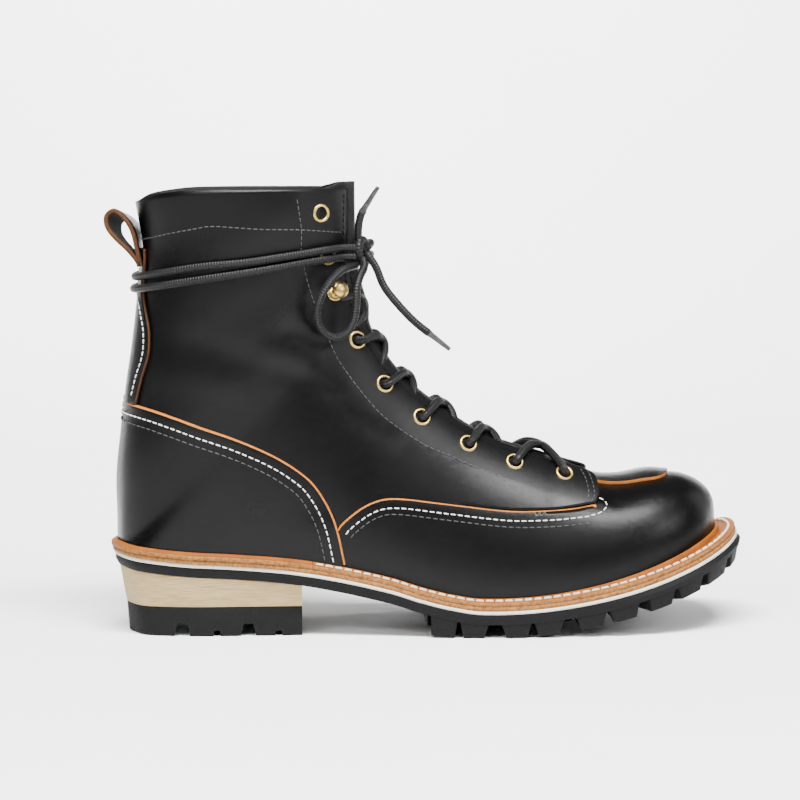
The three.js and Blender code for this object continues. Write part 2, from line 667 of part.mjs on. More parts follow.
// The backstay runs up the back and carries the pull loop, one strap folded into a teardrop.
const PULL_LOOP = table('at up', [
  [0.0388, 0.93], [0.036, 0.942], [0.0187, 0.975], [-0.0015, 1.005],
  [-0.0145, 1.034], [-0.0145, 1.060], [-0.002, 1.073], [0.012, 1.058],
  [0.0228, 1.036], [0.0298, 1.010], [0.0342, 0.98], [0.0385, 0.95], [0.041, 0.93],
]);
function makeBackstay() {
  const strip = minus(shell(GAP, GAP + BACKSTAY), sidePrism(counterOutline(GAP))).intersect(
    sidePrism(outline(drawn(BACKSTAY_EDGE), [-WIDE, 1.2 * HEIGHT], [-WIDE, 0.6 * HEIGHT])),
  ).subtract(sidePrism([
    [-WIDE, 0.975 * HEIGHT], [WIDE, 0.975 * HEIGHT], [WIDE, WIDE], [-WIDE, WIDE],
  ]));
  const middle = drawn(PULL_LOOP).map(([x, z]) => new THREE.Vector2(x, z));
  const offsetSide = (amount) => middle.map((p, i) => {
    const before = middle[Math.max(0, i - 1)];
    const after = middle[Math.min(middle.length - 1, i + 1)];
    const way = after.clone().sub(before).normalize();
    return [p.x - way.y * amount, p.y + way.x * amount];
  });
  const strap = sidePrism(
    [...offsetSide(LOOP_THICKNESS / 2), ...offsetSide(-LOOP_THICKNESS / 2).reverse()],
    -LOOP_WIDTH / 2, LOOP_WIDTH / 2,
  );
  return strip.add(minus(strap, form(GAP)));
}

// The tongue under the throat, and the tab that lies on the vamp in front of the laces.
function makeTongue() {
  const sheet = shell(-UPPER_WALL - GAP - TONGUE_THICKNESS, -UPPER_WALL - GAP);
  const strip = ridgeBox(6, LAST_ROW, () => TONGUE_WIDTH / 2, BALL_WIDTH * 0.22, 10);
  const trim = sidePrism([
    [-WIDE, 1.14 * HEIGHT], [WIDE, 1.14 * HEIGHT], [WIDE, WIDE], [-WIDE, WIDE],
  ]);
  return minus(sheet.intersect(strip), trim);
}

const TAB_BACK = 0.79;
const TAB_FRONT = 0.925;
function makeTab() {
  const sheet = shell(overlayFace + GAP, overlayFace + GAP + TAB_THICKNESS);
  const back = lengthwise(TAB_BACK);
  const front = lengthwise(TAB_FRONT);
  const half = TAB_WIDTH / 2;
  const plan = new THREE.Shape();
  plan.moveTo(back, -half * 0.86);
  plan.lineTo(front - half * 0.7, -half);
  plan.absellipse(front - half * 0.7, 0, half * 0.7, half, -Math.PI / 2, Math.PI / 2, false);
  plan.lineTo(back, half * 0.86);
  const cutter = new THREE.ExtrudeGeometry(plan, {
    depth: HEIGHT, bevelEnabled: false, curveSegments: 6,
  });
  cutter.translate(0, 0, weltTop(front));
  return minus(sheet.intersect(solidOf(cutter)), facingRegion(GAP));
}

function makeInsole() {
  const inset = UPPER_WALL + INSOLE_MARGIN;
  return soleLayer([
    { inset, height: raised(seat, GAP) },
    { inset, height: raised(seat, GAP + INSOLE_THICKNESS) },
  ]);
}

// Eyelets, and the knob hooks in the third place.
function makeFitting(place) {
  const inside = -UPPER_WALL - GAP;
  const barrel = EYELET_BORE + BARREL_WALL;
  const ring = [
    [EYELET_BORE, inside], [barrel, inside], [barrel, GAP], [EYELET_RADIUS, GAP],
    [EYELET_RADIUS - 0.9, GAP + EYELET_RISE], [EYELET_BORE, EYELET_RISE * 0.8],
    [EYELET_BORE, inside],
  ];
  const knobFoot = GAP + HOOK_FOOT_RISE + LACE + 2 * GAP;
  const knob = [
    [0, inside], [NECK_RADIUS, inside], [NECK_RADIUS, GAP], [HOOK_FOOT_RADIUS, GAP],
    [HOOK_FOOT_RADIUS - 0.4, GAP + HOOK_FOOT_RISE * 0.7], [NECK_RADIUS, GAP + HOOK_FOOT_RISE],
    [NECK_RADIUS, knobFoot],
    [KNOB_RADIUS, knobFoot + 0.5], [KNOB_RADIUS, KNOB_HEIGHT - 1.2],
    [KNOB_RADIUS * 0.6, KNOB_HEIGHT - 0.2], [0, KNOB_HEIGHT],
  ];
  return solidOf(placeOn(turned(place.hook ? knob : ring), place));
}

// The lace. A cord is a section with eight sides carried along a smooth curve.
const CORD_SIDES = 8;
function cord(points, stepLength = 2.6 * LACE) {
  const curve = new THREE.CatmullRomCurve3(points, false, 'centripetal');
  const section = new THREE.Shape();
  for (let k = 0; k < CORD_SIDES; k++) {
    const turn = (2 * Math.PI * k) / CORD_SIDES;
    const corner = [Math.cos(turn) * LACE / 2, Math.sin(turn) * LACE / 2];
    if (k === 0) section.moveTo(...corner); else section.lineTo(...corner);
  }
  return solidOf(new THREE.ExtrudeGeometry(section, {
    steps: Math.max(3, Math.round(curve.getLength() / stepLength)), extrudePath: curve,
    bevelEnabled: false,
  }));
}

// A point over the throat: between two lace places along the ridge, across from the middle
// and lifted off the facings' level.
function overThroat(from, to, share, across, lift) {
  const row = from.row + (to.row - from.row) * share;
  const s = sectionAt(row);
  const side = Math.sign(across) || 1;
  const widest = side < 0 ? s.outer : s.inner;
  const bulge = (1 - square(across / widest)) ** (1 / s.top);
  const { point, way } = spot(row, side, s.belly + (1 - s.belly) * Math.min(bulge, 0.995));
  point.y = across;
  return point.addScaledVector(way, lift + facingRise(row));
}

// Each crossing is two strands, from an eyelet over its facing's edge into the throat and
// towards the next lower eyelet of the other side. The lowest crossing lies on top throughout.
const placeOf = (number, side) => lacePlaces.find((p) => p.number === number && p.side === side);
const EDGE = THROAT_WIDTH / 2;
const CLEAR = LACE / 2 + 2 * GAP;
function strand(number, side) {
  const upper = placeOf(number, side);
  const lower = placeOf(number + 1, -side);
  const lowest = number + 1 === EYELETS.length - 1;
  const toLower = lower.point.clone().sub(upper.point).normalize();
  const off = upper.hook ? NECK_RADIUS + CLEAR + 1 : 0;
  const lift = upper.hook ? HOOK_FOOT_RISE + 4 * GAP : EYELET_RISE + 4 * GAP;
  const start = upper.point.clone().addScaledVector(toLower, off)
    .addScaledVector(upper.way, lift + LACE / 2);
  const points = [
    start,
    overThroat(upper, lower, 0.3, side * (EDGE + 1), CLEAR + (upper.hook ? 3 : 1)),
    overThroat(upper, lower, 0.5, side * EDGE * 0.45, CLEAR + 1.4),
  ];
  if (lowest) {
    points.push(
      overThroat(upper, lower, 0.75, -side * (EDGE + 1), CLEAR + 0.8),
      lower.point.clone().addScaledVector(lower.way, lift + LACE / 2),
    );
  } else {
    points.push(
      overThroat(upper, lower, 0.68, -side * EDGE * 0.12, CLEAR),
      overThroat(upper, lower, 0.8, -side * (EDGE - LACE / 2 - 2 * GAP), 0.6),
    );
  }
  return cord(points, 2.1 * LACE);
}
const makeCrossing = (number) => strand(number, -1).add(strand(number, 1));

// The free lace: two turns round the shaft that meet in a knot in front of the outer facing,
// with a loop on each side and two ends. Points are shares: at of UPPER_LENGTH, up of HEIGHT
// above the floor and across of half the SHAFT_WIDTH.
const LIFT_ON_SIDE = LACE / 2 + 2 * GAP;
const LIFT_ON_TRIM = LACE / 2 + BACKSTAY + EYELET_RISE + 4 * GAP;
const TURN_HEIGHTS = table('h upper lower', [
  [0.93, 0.974, 0.950], [0.86, 0.972, 0.948], [0.78, 0.965, 0.942], [0.65, 0.956, 0.931],
  [0.5, 0.945, 0.919], [0.3, 0.935, 0.903], [0.12, 0.917, 0.885], [0.012, 0.903, 0.872],
]);
function roundShaft(side, h, z) {
  let low = SECTIONS.findIndex((section) => section.drop > 0);
  let high = LAST_ROW;
  for (let k = 0; k < 30; k++) {
    const row = (low + high) / 2;
    if (sectionPoint(sectionAt(row), side, h).z < z) low = row; else high = row;
  }
  const { point, way } = spot(low, side, Math.min(h, 0.99));
  const lift = h > 0.78 || h < 0.2 ? LIFT_ON_TRIM + (h < 0.2 ? 2 * GAP : 0) : LIFT_ON_SIDE;
  return point.addScaledVector(way, lift);
}
const cordPoint = ({ at, up, across }) => new THREE.Vector3(
  lengthwise(at), (across * SHAFT_WIDTH) / 2, up * HEIGHT,
);
const makeTurn = (which) => {
  const level = (row) => row[which] * HEIGHT;
  const [front] = TURN_HEIGHTS;
  return cord([
    cordPoint({ at: 0.3962, up: front[which], across: -0.524 }),
    ...TURN_HEIGHTS.map((row) => roundShaft(-1, row.h, level(row))),
    ...[...TURN_HEIGHTS].reverse().map((row) => roundShaft(1, row.h, level(row))),
    cordPoint({ at: 0.4075, up: front[which], across: 0.24 }),
    cordPoint({ at: 0.4075, up: front[which], across: -0.123 }),
  ], 3.6 * LACE);
};

const KNOT = { at: 0.403, up: 0.963, across: -0.33 };
function makeKnot() {
  const ball = new THREE.SphereGeometry(1, 12, 8);
  ball.scale(KNOT_DEPTH / 2, KNOT_WIDTH / 2, KNOT_HEIGHT / 2);
  const middle = cordPoint(KNOT);
  ball.translate(middle.x, middle.y, middle.z);
  return solidOf(ball);
}
const FREE_LACE = {
  lace_loop_outer: table('at up across', [
    [0.3994, 0.9242, -0.418], [0.3879, 0.9253, -0.618], [0.3723, 0.9189, -0.789],
    [0.3532, 0.8921, -0.895], [0.338, 0.8553, -0.942], [0.3317, 0.82, -0.934],
    [0.3345, 0.7874, -0.895], [0.3466, 0.7626, -0.842], [0.3626, 0.7526, -0.803],
    [0.3793, 0.7621, -0.789], [0.3914, 0.7905, -0.789], [0.3966, 0.8332, -0.789],
    [0.398, 0.8737, -0.771], [0.4039, 0.9026, -0.679], [0.4139, 0.9332, -0.466],
  ]),
  lace_loop_inner: table('at up across', [
    [0.4212, 0.9753, -0.221], [0.4257, 0.9811, -0.039], [0.4226, 0.9789, 0.211],
    [0.407, 0.9605, 0.526], [0.3879, 0.9368, 0.816], [0.3671, 0.8947, 0.947],
    [0.3515, 0.8421, 0.987], [0.348, 0.7921, 0.961], [0.3619, 0.7605, 0.895],
    [0.381, 0.7711, 0.842], [0.3966, 0.8211, 0.816], [0.407, 0.8737, 0.763],
    [0.4185, 0.9184, 0.579], [0.4247, 0.9453, 0.316], [0.4261, 0.9516, 0.079],
    [0.4209, 0.9521, -0.189],
  ]),
  lace_end_upper: table('at up across', [
    [0.4032, 0.9995, -0.376], [0.4039, 1.0263, -0.403], [0.408, 1.0553, -0.421],
    [0.4212, 1.0895, -0.434], [0.4362, 1.1237, -0.447],
  ]),
  lace_end_lower: table('at up across', [
    [0.424, 0.9505, -0.342], [0.4316, 0.9242, -0.384], [0.4455, 0.8737, -0.421],
    [0.474, 0.8184, -0.447], [0.4972, 0.7821, -0.447], [0.526, 0.7468, -0.434],
    [0.5531, 0.7137, -0.421],
  ]),
};

// Materials and the scene graph
const materials = {
  leather: { color: 0x1b1b1d, roughness: 0.38 },
  lining: { color: 0x2a2522, roughness: 0.8 },
  rawLeather: { color: 0xb5692f, roughness: 0.6 },
  natural: { color: 0xc4ae88, roughness: 0.7 },
  cream: { color: 0xd8d5c8, roughness: 0.6 },
  rubber: { color: 0x38383a, roughness: 0.8 },
  brass: { color: 0xb99a52, roughness: 0.3, metalness: 1 },
  lace: { color: 0x161617, roughness: 0.6 },
};

const boot = new THREE.Group();
function put(name, solid, material) {
  const mesh = solid.getMesh();
  const geometry = new THREE.BufferGeometry();
  geometry.setAttribute('position', new THREE.BufferAttribute(mesh.vertProperties, 3));
  geometry.setIndex(new THREE.BufferAttribute(mesh.triVerts, 1));
  const flat = geometry.toNonIndexed();
  flat.computeVertexNormals();
  const piece = new THREE.Mesh(flat, new THREE.MeshStandardMaterial(materials[material]));
  piece.name = name;
  boot.add(piece);
  return piece;
}

const { welt, rand } = makeWelts();
put('outsole', makeOutsole(), 'rubber');
put('cream_midsole', soleLayer([
  { setback: CREAM_EDGE, height: raised(rubberTop, GAP) },
  { setback: CREAM_EDGE, height: creamTop },
]), 'cream');
put('leather_midsole', soleLayer([
  { setback: MIDSOLE_EDGE, height: raised(creamTop, GAP) },
  { setback: MIDSOLE_EDGE, height: seat },
]), 'rawLeather');
put('welt', welt, 'rawLeather');
put('heel_rand', rand, 'rawLeather');
put('heel_stack', makeHeelStack(), 'natural');
put('heel_top_piece', makeTopPiece(), 'rubber');
put('insole', makeInsole(), 'lining');
put('upper', makeUpper(), 'leather');
put('vamp', makeVamp(), 'leather');
put('counter_cover', makeCounterCover(), 'leather');
put('backstay', makeBackstay(), 'leather');
put('tongue', makeTongue(), 'leather');
put('toe_tab', makeTab(), 'leather');
lacePlaces.forEach((place) => {
  put(`${place.hook ? 'hook' : 'eyelet'}_${place.name}`, makeFitting(place), 'brass');
});

for (let number = EYELETS.length - 2; number >= HOOK_PLACE; number--) {
  put(`lace_crossing_${EYELETS.length - 1 - number}`, makeCrossing(number), 'lace');
}

// The origin is the middle of the boot's floor rectangle, without the free lace.
const box = new THREE.Box3().setFromObject(boot);
boot.position.set(-(box.min.x + box.max.x) / 2, -(box.min.y + box.max.y) / 2, -box.min.z);
['upper', 'lower'].forEach((which) => put(`lace_turn_${which}`, makeTurn(which), 'lace'));
put('lace_knot', makeKnot(), 'lace');
Object.entries(FREE_LACE).forEach(([name, points]) => {
  put(name, cord(points.map(cordPoint), 2.7 * LACE), 'lace');
});

export default boot;
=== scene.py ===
"""Dresses a right lace-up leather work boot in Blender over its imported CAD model.

Shapes are worked out in millimetres in the boot's own frame: x from the heel's back to the toe,
-y to the outer side, z up from the floor. `to_row` carries them to the model's frame in metres.
"""

import bpy
import numpy as np
from mathutils import Matrix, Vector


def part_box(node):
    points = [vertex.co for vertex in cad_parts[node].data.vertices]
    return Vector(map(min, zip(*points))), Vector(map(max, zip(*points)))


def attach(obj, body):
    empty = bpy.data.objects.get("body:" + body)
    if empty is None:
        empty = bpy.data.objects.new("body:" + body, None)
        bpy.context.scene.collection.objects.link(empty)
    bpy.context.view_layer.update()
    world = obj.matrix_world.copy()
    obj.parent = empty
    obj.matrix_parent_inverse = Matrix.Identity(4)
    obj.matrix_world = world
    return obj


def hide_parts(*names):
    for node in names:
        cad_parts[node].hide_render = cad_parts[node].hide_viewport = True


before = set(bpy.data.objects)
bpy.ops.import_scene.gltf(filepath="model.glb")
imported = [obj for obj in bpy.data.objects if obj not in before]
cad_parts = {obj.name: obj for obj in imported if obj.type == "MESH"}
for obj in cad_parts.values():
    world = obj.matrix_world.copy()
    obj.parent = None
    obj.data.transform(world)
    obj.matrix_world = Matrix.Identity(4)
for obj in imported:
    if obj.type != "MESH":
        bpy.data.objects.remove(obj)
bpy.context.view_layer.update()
MM = 0.001

# The boot's sizes, as in the CAD model
SOLE_LENGTH = 308.0
HEEL_REACH = 5.2
SIDE_REACH = 7.3
TOE_REACH = 14.6
BASE_THICKNESS = 4.8
LUG_DEPTH = 6.5
CREAM_THICKNESS = 1.7
MIDSOLE_THICKNESS = 2.2
WELT_THICKNESS = 2.2
STORM_HEIGHT = 1.3
TOE_STORM_HEIGHT = 3.4
TOE_SPRING = 32.5
HEEL_RISE = 26.4
HEEL_BREAST = 92.0
TOP_PIECE_HEIGHT = 14.3
HEEL_TAPER = 6.0
LUG_FLAT_BACK = 172.0
LUG_FLAT_FRONT = 180.0
REAR_ROCKER = 140.0
LUG_START = 153.0
RAND_JOINT = 97.0
BALL_WIDTH = 91.0
HEEL_WIDTH = 63.0
SHAFT_WIDTH = 76.0
INSTEP_HEIGHT = 100.0
SHAFT_RISE = 90.0
UPPER_WALL = 2.2
OVERLAY = 1.6
BACKSTAY = 1.4
FACING_RISE = 1.3
THROAT_WIDTH = 19.0
TONGUE_WIDTH = 46.0
TONGUE_THICKNESS = 2.0
TAB_THICKNESS = 2.2
TAB_WIDTH = 33.0
LOOP_WIDTH = 19.0
LOOP_THICKNESS = 2.1
EYELET_RISE = 1.3
KNOB_RADIUS = 3.9
NECK_RADIUS = 1.7
LACE = 3.8
GAP = 0.3

UPPER_LENGTH = SOLE_LENGTH - HEEL_REACH - TOE_REACH
HEIGHT = INSTEP_HEIGHT + SHAFT_RISE
OUTER, INNER = -1.0, 1.0
BODY = "root"

# The model's frame: the heel's breast, the toe tab's middle and the floor say where it is.
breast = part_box("heel_top_piece")
tab_low, tab_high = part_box("toe_tab")
ORIGIN = np.array([
    breast[1][0] / MM - HEEL_BREAST,
    (tab_low[1] + tab_high[1]) / 2 / MM,
    breast[0][2] / MM,
])


def to_row(points):
    """Points in the boot's frame, in millimetres, as metres in the model's frame."""
    return (np.asarray(points, dtype=float) + ORIGIN) * MM


# Camera: long lens, a little above the boot, with the toe turned slightly away.
IMAGE_SIZE = 800
PIXELS_PER_MM = 2.0637
CAMERA_DISTANCE = 1500.0
CAMERA_HEIGHT = 250.0
CAMERA_YAW = np.radians(3.0)
CAMERA_ROLL = np.radians(0.54)
CAMERA_TARGET = np.array([141.48, 0.0, 109.78])
SENSOR = 36.0


def make_camera():
    """Looks at the target from the outer side. The picture's right side is turned up by the
    roll, so the camera's up is the level up plus the roll's sine of its right."""
    right = np.array([np.cos(CAMERA_YAW), -np.sin(CAMERA_YAW), 0.0])
    away = np.array([np.sin(CAMERA_YAW), np.cos(CAMERA_YAW), 0.0])
    pitch = np.arctan((CAMERA_HEIGHT - 108.0) / CAMERA_DISTANCE)
    forward = away * np.cos(pitch) - np.array([0.0, 0.0, 1.0]) * np.sin(pitch)
    up = np.cross(right, forward)
    place = CAMERA_TARGET - forward * CAMERA_DISTANCE / np.cos(pitch)
    roll_up = up * np.cos(CAMERA_ROLL) + right * np.sin(CAMERA_ROLL)
    roll_right = right * np.cos(CAMERA_ROLL) - up * np.sin(CAMERA_ROLL)
    data = bpy.data.cameras.new("photo_camera")
    data.sensor_width = SENSOR
    data.lens = PIXELS_PER_MM * CAMERA_DISTANCE * SENSOR / IMAGE_SIZE
    data.clip_start = 0.05
    data.clip_end = 20.0
    camera = bpy.data.objects.new("photo_camera", data)
    bpy.context.scene.collection.objects.link(camera)
    axes = np.eye(4)
    axes[:3, 0] = roll_right
    axes[:3, 1] = roll_up
    axes[:3, 2] = -forward
    axes[:3, 3] = to_row(place)
    camera.matrix_world = Matrix(axes.tolist())
    bpy.context.scene.camera = camera


make_camera()


def table(columns, *rows):
    """A table as named columns of numbers."""
    names = columns.split()
    return {name: np.array([row[i] for row in rows]) for i, name in enumerate(names)}


# The lace's free run, as the CAD model routes it. Shares: at of UPPER_LENGTH, up of HEIGHT above
# the floor and across of half the SHAFT_WIDTH.
KNOT = (0.403, 0.963, -0.33)
LOOP_OUTER = table(
    "at up across",
    (0.3994, 0.934, -0.30), (0.3979, 0.9292, -0.46), (0.3855, 0.9253, -0.648),
    (0.3723, 0.9189, -0.789), (0.3532, 0.8921, -0.895), (0.338, 0.8553, -0.942),
    (0.3317, 0.82, -0.934), (0.3345, 0.7874, -0.895), (0.3466, 0.7626, -0.842),
    (0.3626, 0.7526, -0.803), (0.3793, 0.7621, -0.789), (0.3914, 0.7905, -0.789),
    (0.3966, 0.8332, -0.789), (0.398, 0.8737, -0.771), (0.4039, 0.9026, -0.679),
    (0.4119, 0.925, -0.52), (0.410, 0.944, -0.40),
)
LOOP_INNER = table(
    "at up across",
    (0.4190, 0.972, -0.26), (0.4258, 0.9811, -0.039), (0.4226, 0.9789, 0.211),
    (0.407, 0.9605, 0.526), (0.3879, 0.9368, 0.816), (0.3671, 0.8947, 0.947),
    (0.3515, 0.8421, 0.987), (0.348, 0.7921, 0.961), (0.3619, 0.7605, 0.895),
    (0.381, 0.7711, 0.842), (0.3966, 0.8211, 0.816), (0.407, 0.8737, 0.763),
    (0.4185, 0.9184, 0.579), (0.4247, 0.9453, 0.316), (0.4261, 0.9516, 0.079),
    (0.4190, 0.953, -0.22),
)
END_UPPER = table(
    "at up across",
    (0.4032, 0.975, -0.35), (0.4032, 0.9995, -0.376), (0.4039, 1.0263, -0.403),
    (0.408, 1.0553, -0.421), (0.4212, 1.0895, -0.434), (0.4362, 1.1237, -0.447),
)
END_LOWER = table(
    "at up across",
    (0.418, 0.957, -0.33), (0.4317, 0.9242, -0.384), (0.4455, 0.8737, -0.421),
    (0.474, 0.8184, -0.447), (0.4972, 0.7821, -0.447), (0.526, 0.7468, -0.434),
    (0.5531, 0.7137, -0.421),
)

# Sections of the upper, as in the CAD model: each lies in a plane through a ridge point (rx,
# low, high) and a bottom point (sx, drop).
BALL, HEEL, SHAFT = BALL_WIDTH / 2, HEEL_WIDTH / 2, SHAFT_WIDTH / 2
SECTIONS = table(
    "rx low high sx drop girth outer inner foot belly top",
    (0.999, 0.150, 0, 0.999, -0.032, BALL, 0.02, 0.10, 0.90, 0.42, 2.2),
    (0.997, 0.190, 0, 0.997, -0.032, BALL, 0.15, 0.30, 0.90, 0.40, 2.2),
    (0.987, 0.250, 0, 0.987, -0.034, BALL, 0.35, 0.50, 0.91, 0.38, 2.25),
    (0.968, 0.315, 0, 0.968, -0.037, BALL, 0.56, 0.68, 0.92, 0.36, 2.3),
    (0.937, 0.380, 0, 0.937, -0.042, BALL, 0.74, 0.83, 0.93, 0.34, 2.3),
    (0.892, 0.442, 0, 0.892, -0.042, BALL, 0.88, 0.945, 0.94, 0.31, 2.25),
    (0.840, 0.488, 0, 0.840, -0.042, BALL, 0.965, 1.005, 0.945, 0.28, 2.15),
    (0.781, 0.556, 0, 0.781, -0.042, BALL, 1.005, 1.01, 0.945, 0.25, 2.0),
    (0.708, 0.668, 0, 0.704, -0.042, BALL, 1.01, 0.98, 0.945, 0.22, 1.9),
    (0.638, 0.761, 0, 0.624, -0.042, BALL, 0.98, 0.92, 0.94, 0.21, 1.85),
    (0.577, 0.856, 0, 0.531, -0.042, BALL, 0.915, 0.85, 0.92, 0.22, 1.85),
    (0.525, 0.936, 0, 0.426, -0.042, HEEL, 1.20, 1.12, 0.90, 0.26, 1.9),
    (0.487, 1, 0, 0.322, -0.042, HEEL, 1.11, 1.06, 0.90, 0.33, 1.95),
    (0.461, 1, 0.073, 0.211, -0.042, HEEL, 1.09, 1.06, 0.91, 0.38, 2.0),
    (0.442, 1, 0.155, 0.107, -0.042, HEEL, 1.09, 1.07, 0.87, 0.40, 2.05),
    (0.426, 1, 0.238, 0.031, -0.032, HEEL, 1.09, 1.08, 0.68, 0.43, 2.1),
    (0.419, 1, 0.281, 0.011, -0.018, HEEL, 1.09, 1.08, 0.46, 0.44, 2.1),
    (0.412, 1, 0.328, 0.001, 0.002, HEEL, 1.09, 1.08, 0.10, 0.46, 2.1),
    (0.404, 1, 0.411, 0, 0.089, HEEL, 1.10, 1.09, 0.04, 0.47, 2.15),
    (0.398, 1, 0.496, 0, 0.184, SHAFT, 0.92, 0.915, 0.01, 0.48, 2.15),
    (0.394, 1, 0.582, 0.008, 0.295, SHAFT, 0.925, 0.92, 0.0, 0.49, 2.2),
    (0.392, 1, 0.669, 0.017, 0.407, SHAFT, 0.93, 0.925, 0.0, 0.5, 2.2),
    (0.392, 1, 0.758, 0.028, 0.514, SHAFT, 0.945, 0.94, 0.0, 0.5, 2.2),
    (0.392, 1, 0.847, 0.038, 0.631, SHAFT, 0.965, 0.96, 0.0, 0.5, 2.2),
    (0.392, 1, 0.936, 0.045, 0.753, SHAFT, 0.985, 0.98, 0.0, 0.5, 2.2),
    (0.392, 1, 1.036, 0.033, 0.878, SHAFT, 1, 1, 0.0, 0.5, 2.2),
    (0.392, 1, 1.169, 0.025, 0.977, SHAFT, 1.01, 1.01, 0.0, 0.5, 2.2),
)
LAST_ROW = len(SECTIONS["rx"]) - 1.0

# The rise of the sole line from the ball back to the heel.
HEEL_LINE = table(
    "at rise",
    (-0.1, 1), (0, 1), (0.049, 0.947), (0.114, 0.875), (0.192, 0.822), (0.282, 0.727),
    (0.36, 0.576), (0.435, 0.379), (0.48, 0.216), (0.529, 0.076), (0.578, 0), (1.2, 0),
)
# Lines drawn on the side, as shares of UPPER_LENGTH and of HEIGHT above the floor
COLLAR = table(
    "at up", (-0.1, 1.075), (0.032, 1.092), (0.056, 1.11), (0.09, 1.119), (0.13, 1.124),
    (0.3, 1.124), (0.46, 1.125),
)
COUNTER_EDGE = table(
    "at up", (-0.02, 0.594), (0.013, 0.588), (0.057, 0.575), (0.10, 0.555), (0.14, 0.533),
    (0.183, 0.510), (0.224, 0.484), (0.265, 0.453), (0.3, 0.418), (0.322, 0.388),
    (0.342, 0.343), (0.355, 0.302), (0.363, 0.265), (0.3745, 0.185),
)
WING_EDGE = table(
    "at up", (0.3605, 0.271), (0.366, 0.283), (0.383, 0.306), (0.404, 0.328),
    (0.425, 0.342), (0.446, 0.348),
    (0.477, 0.346), (0.52, 0.337), (0.572, 0.326), (0.615, 0.317), (0.657, 0.311),
    (0.72, 0.311), (0.76, 0.3145), (0.79, 0.318),
)
FACING_FRONT = table(
    "at up", (0.79, 0.318), (0.797, 0.335), (0.7965, 0.355), (0.793, 0.375), (0.784, 0.4),
)
FACING_STITCH = table(
    "at up", (0.3008, 1.10), (0.3073, 1.022), (0.307, 0.967), (0.314, 0.909), (0.320, 0.875),
    (0.328, 0.837), (0.3622, 0.706), (0.3828, 0.656), (0.4053, 0.610), (0.4282, 0.568),
    (0.449, 0.538), (0.480, 0.504), (0.5125, 0.473), (0.5545, 0.4453), (0.597, 0.4158),
    (0.6325, 0.3968), (0.7027, 0.3621), (0.7453, 0.3458), (0.782, 0.330),
)
BACKSTAY_EDGE = table(
    "at up", (0.0345, 0.6), (0.043, 0.65), (0.055, 0.71), (0.057, 0.77), (0.052, 0.82),
    (0.0475, 0.87), (0.0515, 0.94), (0.0515, 0.975),
)
COLLAR_STITCH = table(
    "at up", (0.0, 0.985), (0.051, 1.001), (0.0868, 1.0147), (0.1284, 1.0268),
    (0.1596, 1.0342), (0.205, 1.030), (0.2429, 1.0258), (0.3085, 1.0226), (0.375, 1.012),
)
PULL_LOOP = table(
    "at up",
    (0.0388, 0.93), (0.036, 0.942), (0.0187, 0.975), (-0.0015, 1.005), (-0.0145, 1.034),
    (-0.0145, 1.060), (-0.002, 1.073), (0.012, 1.058), (0.0228, 1.036), (0.0298, 1.010),
    (0.0342, 0.98), (0.0385, 0.95), (0.041, 0.93),
)
EYELETS = table(
    "at up", (0.340, 1.063), (0.351, 0.955), (0.373, 0.860), (0.399, 0.740), (0.444, 0.628),
    (0.505, 0.543), (0.582, 0.474), (0.659, 0.424), (0.741, 0.388),
)
HOOK_PLACE = 2
LUG_GAPS = table(
    "at mouth root", (0.539, 0.014, 0.003), (0.595, 0.034, 0.019), (0.653, 0.017, 0.003),
    (0.711, 0.033, 0.017), (0.769, 0.019, 0.004), (0.825, 0.024, 0.014),
    (0.877, 0.016, 0.004), (0.923, 0.013, 0.009), (0.967, 0.012, 0.007),
)
HEEL_NOTCHES = table(
    "at mouth root deep", (0.112, 0.024, 0.016, 0.42), (0.166, 0.012, 0.008, 0.19),
    (0.215, 0.024, 0.014, 0.41), (0.262, 0.013, 0.008, 0.16),
)


def lengthwise(share):
    """A share of the upper's length as x."""
    return HEEL_REACH + share * UPPER_LENGTH


def smooth(value, low, high):
    """0 below low, 1 above high and an S curve between."""
    t = np.clip((value - low) / (high - low), 0, 1)
    return t * t * (3 - 2 * t)


def curve_through(across, along, value):
    """A cubic through the points (across, along), with slopes from each point's neighbours."""
    across, along, value = (np.asarray(a, dtype=float) for a in (across, along, value))
    last = len(across) - 1
    i = np.clip(np.searchsorted(across, value) - 1, 0, last - 1)
    low, high = np.maximum(i - 1, 0), np.minimum(i + 2, last)
    width = across[i + 1] - across[i]
    slope_0 = (along[i + 1] - along[low]) / (across[i + 1] - across[low])
    slope_1 = (along[high] - along[i]) / (across[high] - across[i])
    t = np.clip((value - across[i]) / width, 0, 1)
    rest = 1 - t
    ends = rest**2 * (1 + 2 * t) * along[i] + t**2 * (3 - 2 * t) * along[i + 1]
    return ends + width * t * rest * (rest * slope_0 - t * slope_1)


def rubber_top(x):
    """The rubber base's top: level at the ball, up to the toe as a square, up to the heel."""
    spring = np.maximum(0, x - LUG_FLAT_FRONT) / (SOLE_LENGTH - LUG_FLAT_FRONT)
    back = curve_through(HEEL_LINE["at"], HEEL_LINE["rise"], np.maximum(0, x / SOLE_LENGTH))
    return LUG_DEPTH + BASE_THICKNESS + TOE_SPRING * spring**2 + HEEL_RISE * back


def rubber_base(x):
    """The rubber base's underside."""
    return rubber_top(x) - BASE_THICKNESS


def ground(x):
    """The lugs' undersides: flat at the ball, up to the toe and a slight rocker at the back."""
    front = rubber_top(np.maximum(x, LUG_FLAT_FRONT)) - LUG_DEPTH - BASE_THICKNESS
    return front + np.maximum(0, LUG_FLAT_BACK - x) ** 2 / (2 * REAR_ROCKER)


def cream_top(x):
    """The cream midsole's top."""
    return rubber_top(x) + CREAM_THICKNESS


def seat(x):
    """The leather midsole's top, on which the welt and the upper stand."""
    return cream_top(x) + MIDSOLE_THICKNESS


def welt_top(x):
    """The welt's flat top."""
    return seat(x) + WELT_THICKNESS


